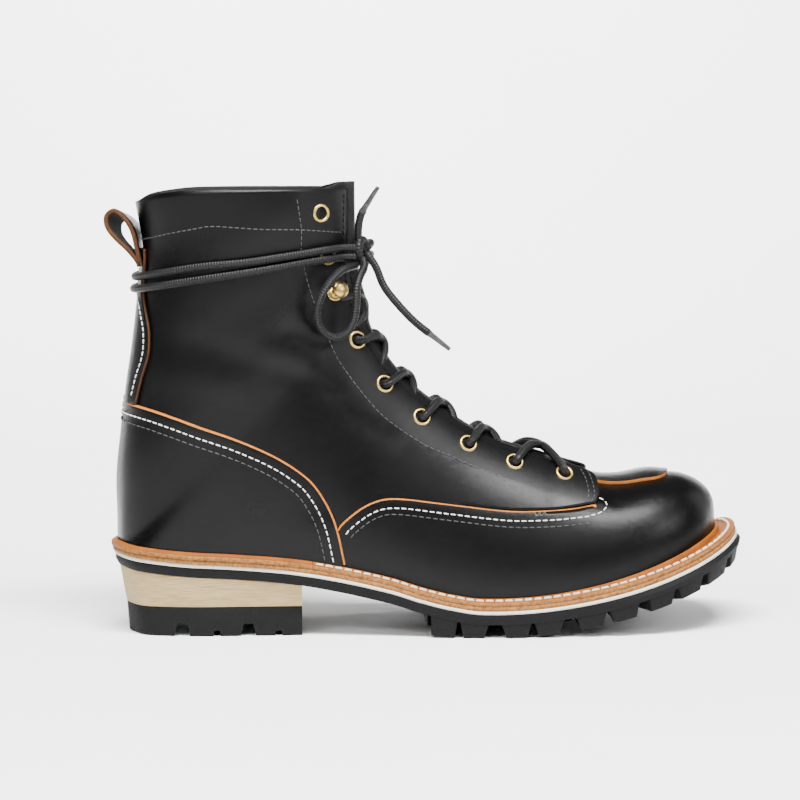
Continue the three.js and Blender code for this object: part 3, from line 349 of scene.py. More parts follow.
# Where a side's turn changes from its lower to its upper quarter ellipse
BELLY_TURN = 0.4


def section_at(row):
    """The section's sizes at a row, on a Catmull-Rom curve through the table's rows."""
    row = np.asarray(row, dtype=float)
    i = np.clip(np.floor(row).astype(int), 0, int(LAST_ROW) - 1)
    t = row - i
    rows = [np.clip(i + k, 0, int(LAST_ROW)) for k in (-1, 0, 1, 2)]

    def blend(column):
        """A column's value at the row."""
        a, b, c, d = (column[k] for k in rows)
        bend = 2 * a - 5 * b + 4 * c - d
        return b + 0.5 * t * (c - a + t * (bend + t * (3 * (b - c) + d - a)))

    s = SECTIONS
    rx = lengthwise(blend(s["rx"]))
    sx = lengthwise(blend(s["sx"]))
    return {
        "rx": rx, "sx": sx,
        "rz": seat(rx) + blend(s["low"]) * INSTEP_HEIGHT + blend(s["high"]) * SHAFT_RISE,
        "sz": seat(sx) + blend(s["drop"]) * HEIGHT,
        "outer": blend(s["outer"] * s["girth"]), "inner": blend(s["inner"] * s["girth"]),
        "foot": np.maximum(blend(s["foot"]), 0), "belly": blend(s["belly"]),
        "top": blend(s["top"]),
    }


def turn_of(section, h):
    """A height share as a turn along the side: 0 at the bottom, BELLY_TURN at the widest
    place and 1 at the ridge."""
    belly = section["belly"]
    down = np.arcsin(np.clip(1 - h / belly, 0, 1)) / (np.pi / 2)
    up = np.clip((h - belly) / (1 - belly), 0, 1) ** (section["top"] / 2)
    up = np.arcsin(np.clip(up, 0, 1)) / (np.pi / 2)
    return np.where(h < belly, BELLY_TURN * (1 - down), BELLY_TURN + (1 - BELLY_TURN) * up)


def side_point(row, side, turn):
    """A point of the upper's form and two directions along it there. Below the belly the
    half width is widest * sqrt(1 - (1 - foot^2) * sin(a)^2) at the height
    belly * (1 - sin(a)); above it, widest * cos(b) at belly + (1 - belly) * sin(b)^(2 / top)."""
    s = section_at(row)
    widest = widest_at(s, side)
    belly, top, pinch = s["belly"], s["top"], 1 - s["foot"] ** 2
    low = np.sin(np.clip(1 - turn / BELLY_TURN, 0, 1) * np.pi / 2)
    high = np.clip((turn - BELLY_TURN) / (1 - BELLY_TURN), 0, 1) * np.pi / 2
    lower = turn < BELLY_TURN
    root = np.sqrt(np.maximum(1 - pinch * low**2, 1e-9))
    up = np.sin(high) ** (2 / top)
    h = np.where(lower, belly * (1 - low), belly + (1 - belly) * up)
    width = np.where(lower, widest * root, widest * np.cos(high))
    steep = widest * top * up ** (top - 1) / 2
    along_h = np.where(lower, belly * root, (1 - belly) * np.cos(high))
    along_w = np.where(lower, widest * pinch * low, -steep)
    dx, dz = s["rx"] - s["sx"], s["rz"] - s["sz"]
    point = np.stack([s["sx"] + dx * h, side * width, s["sz"] + dz * h], axis=-1)
    tangent = np.stack([dx * along_h, side * along_w, dz * along_h], axis=-1)
    return point, tangent


def side_surface(row, side, turn, offset=0.0):
    """Points of the upper's form moved out along its normals by an offset, and the normals:
    the cross product of the ways along the rows and up the side."""
    row, side, turn, offset = np.broadcast_arrays(
        *(np.asarray(a, dtype=float) for a in (row, side, turn, offset)))
    step = 0.02
    point, tangent = side_point(row, side, turn)
    ahead = side_point(np.minimum(row + step, LAST_ROW), side, turn)[0]
    back = side_point(np.maximum(row - step, 0), side, turn)[0]
    normal = np.cross(ahead - back, tangent) * side[..., None]
    normal /= np.maximum(np.linalg.norm(normal, axis=-1, keepdims=True), 1e-9)
    return point + normal * offset[..., None], normal


def place_seen_at(x, z):
    """The row and turn of the place seen from the side at (x, z), by halving the rows."""
    x, z = np.broadcast_arrays(np.asarray(x, dtype=float), np.asarray(z, dtype=float))
    low, high = np.zeros_like(x), np.full_like(x, LAST_ROW)
    for _ in range(36):
        row = (low + high) / 2
        s = section_at(row)
        beyond = ((s["rx"] - s["sx"]) * (z - s["sz"]) - (s["rz"] - s["sz"]) * (x - s["sx"])) > 0
        low, high = np.where(beyond, row, low), np.where(beyond, high, row)
    s = section_at(low)
    run = (s["rx"] - s["sx"]) ** 2 + (s["rz"] - s["sz"]) ** 2
    h = ((x - s["sx"]) * (s["rx"] - s["sx"]) + (z - s["sz"]) * (s["rz"] - s["sz"])) / run
    return low, turn_of(s, h)


def drawn(line, count=None, dx=0.0, dz=0.0):
    """A table line as side-view points in millimetres, on a smooth curve by its length."""
    x, z = lengthwise(line["at"]) + dx, line["up"] * HEIGHT + dz
    if count is None:
        return x, z
    run = np.concatenate([[0], np.cumsum(np.hypot(np.diff(x), np.diff(z)))])
    at = np.linspace(0, run[-1], count)
    return curve_through(run, x, at), curve_through(run, z, at)


def turn_at_level(row, side, level):
    """The turn at which the side's surface crosses a level, given as a function of x and z
    that grows upwards through 0, by halving between the bottom and the ridge."""
    low, high = np.zeros_like(row), np.ones_like(row)
    for _ in range(34):
        turn = (low + high) / 2
        p = side_point(row, side, turn)[0]
        under = level(p[..., 0], p[..., 2]) < 0
        low, high = np.where(under, turn, low), np.where(under, high, turn)
    return low


def feather_turn(row):
    """The turn at which the upper meets the seat."""
    return turn_at_level(row, INNER, lambda x, z: z - seat(x))


def seat_back_row():
    """The rearmost row whose bottom point is below the seat, by halving."""
    low, high = 16.0, 18.0
    for _ in range(40):
        row = (low + high) / 2
        s = section_at(row)
        low, high = (row, high) if s["sz"] < seat(s["sx"]) else (low, row)
    return low


SEAT_BACK = seat_back_row()
# The row at the throat's front end
THROAT_ROW = 7.0


def widest_at(section, side):
    """Half the width of a section at its widest place, for each side."""
    return np.where(side < 0, section["outer"], section["inner"])


def turn_off_middle(widest, away):
    """The turn at which the form's upper part is a distance away from the middle plane."""
    return BELLY_TURN + (1 - BELLY_TURN) * np.arccos(away / widest) / (np.pi / 2)


def throat_turn(row, side):
    """The turn at the facing's edge, half the throat's width from the middle."""
    s = section_at(row)
    opening = np.sqrt(np.clip((row - THROAT_ROW) / 2, 0, 1))
    half = THROAT_WIDTH / 2 * (0.35 + 0.65 * opening)
    return turn_off_middle(widest_at(s, side), half)


def facing_rise(row):
    """How far the facing's outer face stands off the form: over the vamp at its front end,
    then sinking to the quarter it is cut from."""
    return FACING_RISE * smooth(10.2 - row, 0, 3.2) + 2.0 * (1 - smooth(row, 6.9, 7.9))


def instep_dip(row, turn):
    """The toe's top sinks a little where it goes under the facings."""
    return 3.6 * smooth(turn, 0.62, 0.9) * smooth(row, 4.7, 6.6)


# Meshes
def new_piece(name, vertices, faces, materials, face_materials=None, uv=None, sharp=None):
    """A mesh piece in the model's frame that rides on the boot's body."""
    mesh = bpy.data.meshes.new(name)
    mesh.from_pydata(to_row(vertices), [], faces)
    for material in materials:
        mesh.materials.append(material)
    if face_materials is not None:
        mesh.polygons.foreach_set("material_index", np.asarray(face_materials, dtype=np.int32))
    if uv is not None:
        layer = mesh.uv_layers.new(name="UVMap")
        loops = np.empty(len(mesh.loops), dtype=np.int32)
        mesh.loops.foreach_get("vertex_index", loops)
        layer.data.foreach_set("uv", np.asarray(uv, dtype=np.float32)[loops].ravel())
    mesh.polygons.foreach_set("use_smooth", np.ones(len(mesh.polygons), dtype=bool))
    mesh.update()
    piece = bpy.data.objects.new(name, mesh)
    bpy.context.scene.collection.objects.link(piece)
    if sharp is not None:
        mesh.set_sharp_from_angle(angle=np.radians(sharp))
    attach(piece, BODY)
    return piece


def unit(vectors):
    """Vectors of length 1."""
    return vectors / np.linalg.norm(vectors, axis=-1, keepdims=True)


def run_along(points):
    """The length of a line of points from its start to each of them."""
    steps = np.linalg.norm(np.diff(points, axis=0), axis=1)
    return np.concatenate([[0], np.cumsum(steps)])


def grid_faces(rows, columns, start=0, wrap_rows=False, wrap_columns=False, flip=False):
    """Quads over a grid of vertices numbered row by row from start."""
    i = np.arange(rows if wrap_rows else rows - 1)[:, None]
    j = np.arange(columns if wrap_columns else columns - 1)[None, :]
    i2, j2 = (i + 1) % rows, (j + 1) % columns
    quad = [i * columns + j, i2 * columns + j, i2 * columns + j2, i * columns + j2]
    faces = start + np.stack([np.broadcast_to(q, (i.size, j.size)) for q in quad], axis=-1)
    faces = faces.reshape(-1, 4)
    return faces[:, ::-1] if flip else faces


class Patchwork:
    """Grids of points gathered into one mesh, with meeting points joined."""

    def __init__(self):
        """Starts without grids."""
        self.points, self.faces, self.kinds, self.uv, self.count = [], [], [], [], 0

    def add(self, points, kind=0, flip=False, wrap_rows=False, wrap_columns=False, uv=None):
        """Adds a grid of points, with its material's number and its UV."""
        rows, columns = points.shape[:2]
        faces = grid_faces(rows, columns, self.count, wrap_rows, wrap_columns, flip)
        self.points.append(points.reshape(-1, 3))
        self.uv.append(np.zeros((rows * columns, 2)) if uv is None else uv.reshape(-1, 2))
        self.faces.append(faces)
        self.kinds.append(np.full(len(faces), kind))
        self.count += rows * columns

    def piece(self, name, materials, weld=0.02, sharp=None):
        """Makes the mesh piece. Corners that meet are joined, and faces that have folded to a
        line or lie doubled are left out."""
        points = np.concatenate(self.points)
        faces, kinds = np.concatenate(self.faces), np.concatenate(self.kinds)
        uv = np.concatenate(self.uv)
        cell = np.round(points / weld).astype(np.int64)
        _, first, index = np.unique(cell, axis=0, return_index=True, return_inverse=True)
        points, uv, faces = points[first], uv[first], index.ravel()[faces]
        kept, kept_kinds, seen = [], [], set()
        for face, kind in zip(faces.tolist(), kinds.tolist()):
            corners = [v for k, v in enumerate(face) if v != face[k - 1]]
            key = tuple(sorted(corners))
            if len(set(corners)) == len(corners) >= 3 and key not in seen:
                seen.add(key)
                kept.append(corners)
                kept_kinds.append(kind)
        return new_piece(name, points, kept, materials, kept_kinds, uv, sharp)


def modifier(piece, kind, **values):
    """Adds a modifier with its settings."""
    made = piece.modifiers.new(kind.lower(), kind)
    for name, value in values.items():
        setattr(made, name, value)
    return made


def wall(piece, thickness, inside=0, rim=0):
    """Gives a surface its leather's thickness, inwards."""
    modifier(piece, "SOLIDIFY", thickness=thickness * MM, offset=-1, use_even_offset=False,
             use_quality_normals=True, material_offset=inside, material_offset_rim=rim)


def round_edges(piece, width, segments=2, angle=40):
    """Rounds the edges that are sharper than an angle."""
    modifier(piece, "BEVEL", width=width * MM, segments=segments, limit_method="ANGLE",
             angle_limit=np.radians(angle), harden_normals=False)


def rounded_path(points, spacing):
    """A smooth curve through points, on a centripetal Catmull-Rom spline, at even spacing."""
    p = np.asarray(points, dtype=float)
    p = np.vstack([2 * p[0] - p[1], p, 2 * p[-1] - p[-2]])
    knots = np.concatenate([[0], np.cumsum(np.linalg.norm(np.diff(p, axis=0), axis=1) ** 0.5)])
    dense = []
    for i in range(1, len(p) - 2):
        t = np.linspace(knots[i], knots[i + 1], 24, endpoint=i == len(p) - 3)[:, None]
        t0, t1, t2, t3 = knots[i - 1:i + 3]
        a1 = (t1 - t) / (t1 - t0) * p[i - 1] + (t - t0) / (t1 - t0) * p[i]
        a2 = (t2 - t) / (t2 - t1) * p[i] + (t - t1) / (t2 - t1) * p[i + 1]
        a3 = (t3 - t) / (t3 - t2) * p[i + 1] + (t - t2) / (t3 - t2) * p[i + 2]
        b1 = (t2 - t) / (t2 - t0) * a1 + (t - t0) / (t2 - t0) * a2
        b2 = (t3 - t) / (t3 - t1) * a2 + (t - t1) / (t3 - t1) * a3
        dense.append((t2 - t) / (t2 - t1) * b1 + (t - t1) / (t2 - t1) * b2)
    dense = np.vstack(dense)
    run = run_along(dense)
    count = max(3, int(round(run[-1] / spacing)) + 1)
    at = np.linspace(0, run[-1], count)
    return np.stack([np.interp(at, run, dense[:, k]) for k in range(3)], axis=1)


def path_frames(path):
    """Unit ways along a path, and two ways across it that turn as little as possible."""
    way = unit(np.gradient(path, axis=0))
    side = np.cross(way[0], [0.0, 0.0, 1.0] if abs(way[0][2]) < 0.9 else [1.0, 0.0, 0.0])
    sides = []
    for w in way:
        side = side - w * side.dot(w)
        side = side / np.linalg.norm(side)
        sides.append(side)
    sides = np.array(sides)
    return way, sides, np.cross(way, sides)


def tube(patch, path, radius, sides=14, kind=0, turns_per_mm=1.0):
    """A round cord along a path with domed ends, and its UV: u along, v round."""
    way, across, other = path_frames(path)
    radius = np.broadcast_to(np.asarray(radius, dtype=float), len(path))
    turn = np.linspace(0, 2 * np.pi, sides, endpoint=False)
    ring = across[:, None] * np.cos(turn)[:, None] + other[:, None] * np.sin(turn)[:, None]
    body = path[:, None] + ring * radius[:, None, None]
    run = run_along(path)
    loops, along = [], []
    for share in (0.0, 0.55, 0.88):
        back = np.sqrt(1 - share**2) * radius[0] * 0.5
        loops.append(path[0] - way[0] * back + ring[0] * radius[0] * max(share, 0.001))
        along.append(-back)
    loops.extend(body)
    along.extend(run)
    for share in (0.88, 0.55, 0.0):
        out = np.sqrt(1 - share**2) * radius[-1] * 0.5
        loops.append(path[-1] + way[-1] * out + ring[-1] * radius[-1] * max(share, 0.001))
        along.append(run[-1] + out)
    uv = np.stack(np.broadcast_arrays(
        np.array(along)[:, None] * turns_per_mm, np.arange(sides)[None, :] / sides), axis=-1)
    patch.add(np.array(loops), kind, wrap_columns=True, uv=uv)


# Materials
def add_node(tree, kind, values=None, **settings):
    """A shader node with its settings and the values of its inputs."""
    made = tree.nodes.new(kind)
    for name, value in settings.items():
        setattr(made, name, value)
    for name, value in (values or {}).items():
        made.inputs[name].default_value = value
    return made


def effect_group(name, inputs, outputs):
    """An empty shader node group with named number inputs and outputs."""
    group = bpy.data.node_groups.new(name, "ShaderNodeTree")
    for label, value in inputs:
        group.interface.new_socket(
            name=label, in_out="INPUT", socket_type="NodeSocketFloat").default_value = value
    for label in outputs:
        group.interface.new_socket(
            name=label, in_out="OUTPUT", socket_type="NodeSocketFloat")
    return group, group.nodes.new("NodeGroupInput"), group.nodes.new("NodeGroupOutput")


def make_drift():
    """Soft patches: noise in object space, spread between 0 and 1."""
    group, given, out = effect_group("tone_drift", [("Scale", 30.0), ("Detail", 3.0)], ["Mask"])
    place = add_node(group, "ShaderNodeTexCoord")
    noise = add_node(group, "ShaderNodeTexNoise")
    spread = add_node(group, "ShaderNodeMapRange", {"From Min": 0.3, "From Max": 0.7})
    group.links.new(place.outputs["Object"], noise.inputs["Vector"])
    group.links.new(given.outputs["Scale"], noise.inputs["Scale"])
    group.links.new(given.outputs["Detail"], noise.inputs["Detail"])
    group.links.new(noise.outputs["Fac"], spread.inputs["Value"])
    group.links.new(spread.outputs["Result"], out.inputs["Mask"])
    return group


def make_pores():
    """A leather's grain: cells with sunk borders, uneven in height, plus finer noise."""
    group, given, out = effect_group("leather_pores", [("Scale", 1400.0)], ["Height"])
    place = add_node(group, "ShaderNodeTexCoord")
    wander = add_node(group, "ShaderNodeTexNoise", {"Scale": 260.0, "Detail": 2.0})
    mix = add_node(group, "ShaderNodeMix", {"Factor": 0.012}, data_type="VECTOR")
    cells = add_node(group, "ShaderNodeTexVoronoi", feature="DISTANCE_TO_EDGE")
    rise = add_node(group, "ShaderNodeMapRange", {"From Max": 0.22})
    fine = add_node(group, "ShaderNodeTexNoise", {"Scale": 2600.0, "Detail": 3.0})
    add = add_node(group, "ShaderNodeMath", {1: 0.5}, operation="MULTIPLY_ADD")
    links = group.links
    links.new(place.outputs["Object"], wander.inputs["Vector"])
    links.new(place.outputs["Object"], mix.inputs["A"])
    links.new(wander.outputs["Color"], mix.inputs["B"])
    links.new(mix.outputs["Result"], cells.inputs["Vector"])
    links.new(given.outputs["Scale"], cells.inputs["Scale"])
    links.new(cells.outputs["Distance"], rise.inputs["Value"])
    links.new(place.outputs["Object"], fine.inputs["Vector"])
    links.new(fine.outputs["Fac"], add.inputs[0])
    links.new(rise.outputs["Result"], add.inputs[2])
    links.new(add.outputs["Value"], out.inputs["Height"])
    return group


def make_streaks():
    """Fine level lines: noise in object space drawn out along x and y."""
    group, given, out = effect_group("level_streaks", [("Scale", 60.0), ("Fineness", 40.0)],
                                     ["Mask"])
    place = add_node(group, "ShaderNodeTexCoord")
    split = add_node(group, "ShaderNodeSeparateXYZ")
    high = add_node(group, "ShaderNodeMath", operation="MULTIPLY")
    join = add_node(group, "ShaderNodeCombineXYZ")
    noise = add_node(group, "ShaderNodeTexNoise", {"Detail": 4.0, "Roughness": 0.6})
    spread = add_node(group, "ShaderNodeMapRange", {"From Min": 0.34, "From Max": 0.66})
    links = group.links
    links.new(place.outputs["Object"], split.inputs["Vector"])
    links.new(split.outputs["X"], join.inputs["X"])
    links.new(split.outputs["Y"], join.inputs["Y"])
    links.new(split.outputs["Z"], high.inputs[0])
    links.new(given.outputs["Fineness"], high.inputs[1])
    links.new(high.outputs["Value"], join.inputs["Z"])
    links.new(join.outputs["Vector"], noise.inputs["Vector"])
    links.new(given.outputs["Scale"], noise.inputs["Scale"])
    links.new(noise.outputs["Fac"], spread.inputs["Value"])
    links.new(spread.outputs["Result"], out.inputs["Mask"])
    return group


DRIFT, PORES, STREAKS = make_drift(), make_pores(), make_streaks()


def use_group(tree, group, **values):
    """A group placed in a material, with its inputs' values."""
    made = add_node(tree, "ShaderNodeGroup", node_tree=group)
    for name, value in values.items():
        made.inputs[name].default_value = value
    return made


def new_material(name, **values):
    """A material and its shader, with constants on the shader's own sockets."""
    material = bpy.data.materials.new(name)
    material.use_nodes = True
    shader = material.node_tree.nodes["Principled BSDF"]
    for label, value in values.items():
        shader.inputs[label.replace("_", " ")].default_value = value
    return material, material.node_tree, shader


def two_tones(tree, mask, shader, dark, light):
    """A base colour between two tones by a mask."""
    mix = add_node(tree, "ShaderNodeMix", {"A": (*dark, 1), "B": (*light, 1)}, data_type="RGBA")
    tree.links.new(mask, mix.inputs["Factor"])
    tree.links.new(mix.outputs["Result"], shader.inputs["Base Color"])


def between(tree, mask, socket, low, high):
    """A value between two by a mask."""
    spread = add_node(tree, "ShaderNodeMapRange", {"To Min": low, "To Max": high})
    tree.links.new(mask, spread.inputs["Value"])
    tree.links.new(spread.outputs["Result"], socket)


def bumped(tree, height, shader, depth, strength=1.0):
    """A fine relief, its depth in millimetres."""
    bump = add_node(tree, "ShaderNodeBump", {"Strength": strength, "Distance": depth * MM})
    tree.links.new(height, bump.inputs["Height"])
    tree.links.new(bump.outputs["Normal"], shader.inputs["Normal"])


def leather(name, dark, light, rough, grain=1400.0, depth=0.05, drift=30.0, specular=0.5,
            lighter=None):
    """Full grain leather: two close tones in soft patches, pores, and an uneven shine. A named
    attribute marks where it is a paler, duller leather."""
    material, tree, shader = new_material(name, Specular_IOR_Level=specular)
    patches = use_group(tree, DRIFT, Scale=drift)
    pores = use_group(tree, PORES, Scale=grain)
    two_tones(tree, patches.outputs["Mask"], shader, dark, light)
    between(tree, patches.outputs["Mask"], shader.inputs["Roughness"], *rough)
    bumped(tree, pores.outputs["Height"], shader, depth)
    if lighter:
        mark = add_node(tree, "ShaderNodeAttribute", attribute_name=lighter)
        tone = add_node(tree, "ShaderNodeMix", {"B": (0.002, 0.002, 0.0022, 1)},
                        data_type="RGBA")
        dull = add_node(tree, "ShaderNodeMix", {"B": 0.4}, data_type="FLOAT")
        for label, mix in (("Base Color", tone), ("Roughness", dull)):
            socket = shader.inputs[label]
            tree.links.new(socket.links[0].from_socket, mix.inputs["A"])
            tree.links.new(mark.outputs["Fac"], mix.inputs["Factor"])
            tree.links.new(mix.outputs["Result"], socket)
    return material


def edge_leather(name, dark, light, scale=900.0, rough=(0.6, 0.8), depth=0.06):
    """A cut or sanded leather edge: speckled fibres in two tones."""
    material, tree, shader = new_material(name, Specular_IOR_Level=0.2)
    fibres = use_group(tree, DRIFT, Scale=scale, Detail=5.0)
    two_tones(tree, fibres.outputs["Mask"], shader, dark, light)
    between(tree, fibres.outputs["Mask"], shader.inputs["Roughness"], *rough)
    bumped(tree, fibres.outputs["Mask"], shader, depth)
    return material


def make_lace_material():
    """Waxed round braid: strands cross in a diamond pattern over the cord's own UV, in which
    u runs along it in lace widths and v once round it."""
    material, tree, shader = new_material("waxed_lace", Roughness=0.5, Specular_IOR_Level=0.22)
    uv = add_node(tree, "ShaderNodeUVMap", uv_map="UVMap")
    split = add_node(tree, "ShaderNodeSeparateXYZ")
    tree.links.new(uv.outputs["UV"], split.inputs["Vector"])
    radians_along, strands_round = 9.0, 4
    waves = []
    for direction in (1.0, -1.0):
        along = add_node(tree, "ShaderNodeMath", {1: radians_along}, operation="MULTIPLY")
        around = add_node(tree, "ShaderNodeMath", {1: direction * 2 * np.pi * strands_round},
                          operation="MULTIPLY")
        both = add_node(tree, "ShaderNodeMath", operation="ADD")
        wave = add_node(tree, "ShaderNodeMath", operation="SINE")
        tree.links.new(split.outputs["X"], along.inputs[0])
        tree.links.new(split.outputs["Y"], around.inputs[0])
        tree.links.new(along.outputs["Value"], both.inputs[0])
        tree.links.new(around.outputs["Value"], both.inputs[1])
        tree.links.new(both.outputs["Value"], wave.inputs[0])
        waves.append(wave)
    braid = add_node(tree, "ShaderNodeMath", operation="MULTIPLY")
    mask = add_node(tree, "ShaderNodeMapRange", {"From Min": -1.0})
    tree.links.new(waves[0].outputs["Value"], braid.inputs[0])
    tree.links.new(waves[1].outputs["Value"], braid.inputs[1])
    tree.links.new(braid.outputs["Value"], mask.inputs["Value"])
    # The braid's raised crests get a paler base colour as a painted highlight on the strands;
    # their lower roughness and the bump are real.
    two_tones(tree, mask.outputs["Result"], shader,
              (0.0006, 0.0006, 0.0007), (0.0052, 0.0052, 0.0055))
    between(tree, mask.outputs["Result"], shader.inputs["Roughness"], 0.62, 0.4)
    bumped(tree, mask.outputs["Result"], shader, 0.35)
    return material


def make_stack_material():
    """Stacked leather seen on its edge: pale, with fine level lines."""
    material, tree, shader = new_material("stacked_leather_edge", Specular_IOR_Level=0.2)
    lines = use_group(tree, STREAKS, Scale=110.0, Fineness=24.0)
    two_tones(tree, lines.outputs["Mask"], shader, (0.27, 0.18, 0.075), (0.42, 0.315, 0.16))
    between(tree, lines.outputs["Mask"], shader.inputs["Roughness"], 0.5, 0.68)
    bumped(tree, lines.outputs["Mask"], shader, 0.12)
    return material


def plain(name, dark, light, rough, scale=500.0, depth=0.03, **values):
    """A moulded, spun or plated material: two close tones and a fine uneven surface."""
    material, tree, shader = new_material(name, **values)
    patches = use_group(tree, DRIFT, Scale=scale)
    two_tones(tree, patches.outputs["Mask"], shader, dark, light)
    between(tree, patches.outputs["Mask"], shader.inputs["Roughness"], *rough)
    bumped(tree, patches.outputs["Mask"], shader, depth)
    return material


black_leather = leather(
    "black_leather", (0.0009, 0.0009, 0.001), (0.0013, 0.0013, 0.0015), (0.27, 0.32),
    grain=1700.0, depth=0.012, specular=0.15)
flesh_side = leather(
    "dark_flesh_side", (0.008, 0.006, 0.005), (0.02, 0.013, 0.009), (0.75, 0.9),
    grain=900.0, depth=0.15, specular=0.15)
quarter_leather = leather(
    "quarter_leather", (0.0009, 0.0009, 0.001), (0.0013, 0.0013, 0.0015), (0.27, 0.32),
    grain=1700.0, depth=0.012, specular=0.15, lighter="facing")
# A near-black material for the discs across the eyelets' holes: painted shade inside the bores.
bore_shade_disc = plain("painted_bore_shade", (0.002, 0.002, 0.002), (0.003, 0.003, 0.003), (0.7, 0.8),
                  depth=0.0, Specular_IOR_Level=0.1)
tongue_leather = leather(
    "tongue_leather", (0.0014, 0.0014, 0.0016), (0.0034, 0.0034, 0.0036), (0.5, 0.62),
    grain=900.0, depth=0.12, specular=0.22)
lining_leather = leather(
    "lining_leather", (0.006, 0.005, 0.0045), (0.012, 0.0105, 0.0095), (0.6, 0.75), depth=0.05,
    specular=0.15)
dark_edge = edge_leather("dark_cut_edge", (0.003, 0.0028, 0.0028), (0.011, 0.0105, 0.01))
raw_edge = edge_leather("raw_cut_edge", (0.26, 0.075, 0.007), (0.40, 0.14, 0.022))
loop_edge = edge_leather("loop_cut_edge", (0.03, 0.010, 0.0025), (0.07, 0.025, 0.006))
welt_top_leather = leather(
    "welt_top_leather", (0.15, 0.038, 0.0025), (0.23, 0.066, 0.005), (0.48, 0.62),
    grain=1300.0, depth=0.06, drift=110.0, specular=0.15)
welt_side = edge_leather("welt_cut_side", (0.115, 0.036, 0.005), (0.29, 0.13, 0.036), scale=700.0)
cream_rubber = plain("cream_rubber", (0.52, 0.49, 0.40), (0.62, 0.59, 0.50), (0.6, 0.75))
charcoal_rubber = plain(
    "charcoal_rubber", (0.0028, 0.0028, 0.0031), (0.005, 0.005, 0.0054), (0.6, 0.75),
    scale=900.0, depth=0.08, Specular_IOR_Level=0.12)
stacked_leather = make_stack_material()
brass = plain("brass_plate", (0.42, 0.29, 0.09), (0.52, 0.37, 0.13), (0.33, 0.38), scale=60.0,
              depth=0.0, Metallic=1.0)
waxed_lace = make_lace_material()
aglet_shell = plain("aglet_shell", (0.012, 0.012, 0.013), (0.02, 0.02, 0.02), (0.22, 0.3))
aglet_ring = plain("aglet_ring", (0.10, 0.10, 0.10), (0.16, 0.16, 0.16), (0.4, 0.5), scale=900.0)
white_thread = plain("white_thread", (0.50, 0.49, 0.46), (0.68, 0.67, 0.64), (0.6, 0.8),
                     scale=1500.0, depth=0.1)
dark_thread = plain("dark_thread", (0.001, 0.001, 0.001), (0.003, 0.003, 0.003), (0.6, 0.7),
                    scale=1500.0, Specular_IOR_Level=0.1)
grey_thread = plain("grey_thread", (0.016, 0.016, 0.017), (0.034, 0.034, 0.036), (0.5, 0.7),
                    scale=1500.0, depth=0.1)
welt_thread = plain("welt_thread", (0.50, 0.40, 0.26), (0.66, 0.57, 0.42), (0.6, 0.8),
                    scale=1500.0, depth=0.1)
insole_leather = leather(
    "insole_leather", (0.09, 0.055, 0.03), (0.13, 0.08, 0.045), (0.55, 0.7), depth=0.05)
floor_white = plain("floor_white", (0.93, 0.93, 0.93), (0.95, 0.95, 0.95), (0.85, 0.9),
                    scale=8.0, depth=0.0)


# The lace's free run
def lace_points(line):
    """A free run's points in millimetres."""
    return np.stack([lengthwise(line["at"]), line["across"] * SHAFT_WIDTH / 2,
                     line["up"] * HEIGHT], axis=1)


def free_lace(name, line, node, far_end):
    """A stretch of free lace: a round tube along its smooth route."""
    radius = LACE / 2
    path = rounded_path(lace_points(line), 1.2)
    patch = Patchwork()
    if far_end == "bare":
        tip = len(path) - 12
        tube(patch, path[:tip + 1], radius, turns_per_mm=1 / LACE)
        tube(patch, path[tip - 1:tip + 1], radius * 0.98, kind=2)
        narrow = np.interp(np.arange(tip, len(path)), [tip, tip + 2, len(path) - 1],
                           [radius * 0.9, radius * 0.76, radius * 0.55])
        tube(patch, path[tip:], narrow, kind=1)
    else:
        tube(patch, path, radius, turns_per_mm=1 / LACE)
    piece = patch.piece(name, [waxed_lace, aglet_shell, aglet_ring])
    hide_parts(node)
    length = float(np.linalg.norm(np.diff(path, axis=0), axis=1).sum()) * MM
    return piece, path, length


# Heights of the two turns round the shaft, by the height share on the shaft's side
TURN_HEIGHTS = table(
    "h upper lower", (0.93, 0.974, 0.950), (0.86, 0.972, 0.948), (0.78, 0.965, 0.942),
    (0.65, 0.956, 0.931), (0.5, 0.945, 0.919), (0.3, 0.935, 0.903), (0.12, 0.917, 0.885),
    (0.012, 0.903, 0.872),
)


def round_shaft(side, h, level):
    """A point on the lace's run round the shaft, lifted clear of the leather."""
    low, high = 17.0, LAST_ROW
    for _ in range(30):
        row = (low + high) / 2
        turn = turn_of(section_at(row), np.asarray(h))
        z = side_point(np.asarray(row), side, turn)[0][2]
        low, high = (row, high) if z < level else (low, row)
    row = np.asarray((low + high) / 2)
    lift = LACE / 2 + 2 * GAP
    if h > 0.78 or h < 0.2:
        lift = LACE / 2 + GAP + (BACKSTAY if h < 0.2 else EYELET_RISE + GAP)
    return side_surface(row, side, turn_of(section_at(row), np.asarray(h)), lift)[0]


def turn_path(which):
    """One turn round the shaft: from the knot by the outer side and the back to the knot."""
    levels = TURN_HEIGHTS[which] * HEIGHT
    front = levels[0]
    start = [lengthwise(0.3962), -0.524 * SHAFT_WIDTH / 2, front]
    points = [start]
    points += [round_shaft(OUTER, h, z) for h, z in zip(TURN_HEIGHTS["h"], levels)]
    points += [round_shaft(INNER, h, z)
               for h, z in zip(TURN_HEIGHTS["h"][::-1], levels[::-1])]
    for across in (0.24, -0.123):
        points.append([lengthwise(0.4075), across * SHAFT_WIDTH / 2, front])
    return rounded_path(points, 1.5)


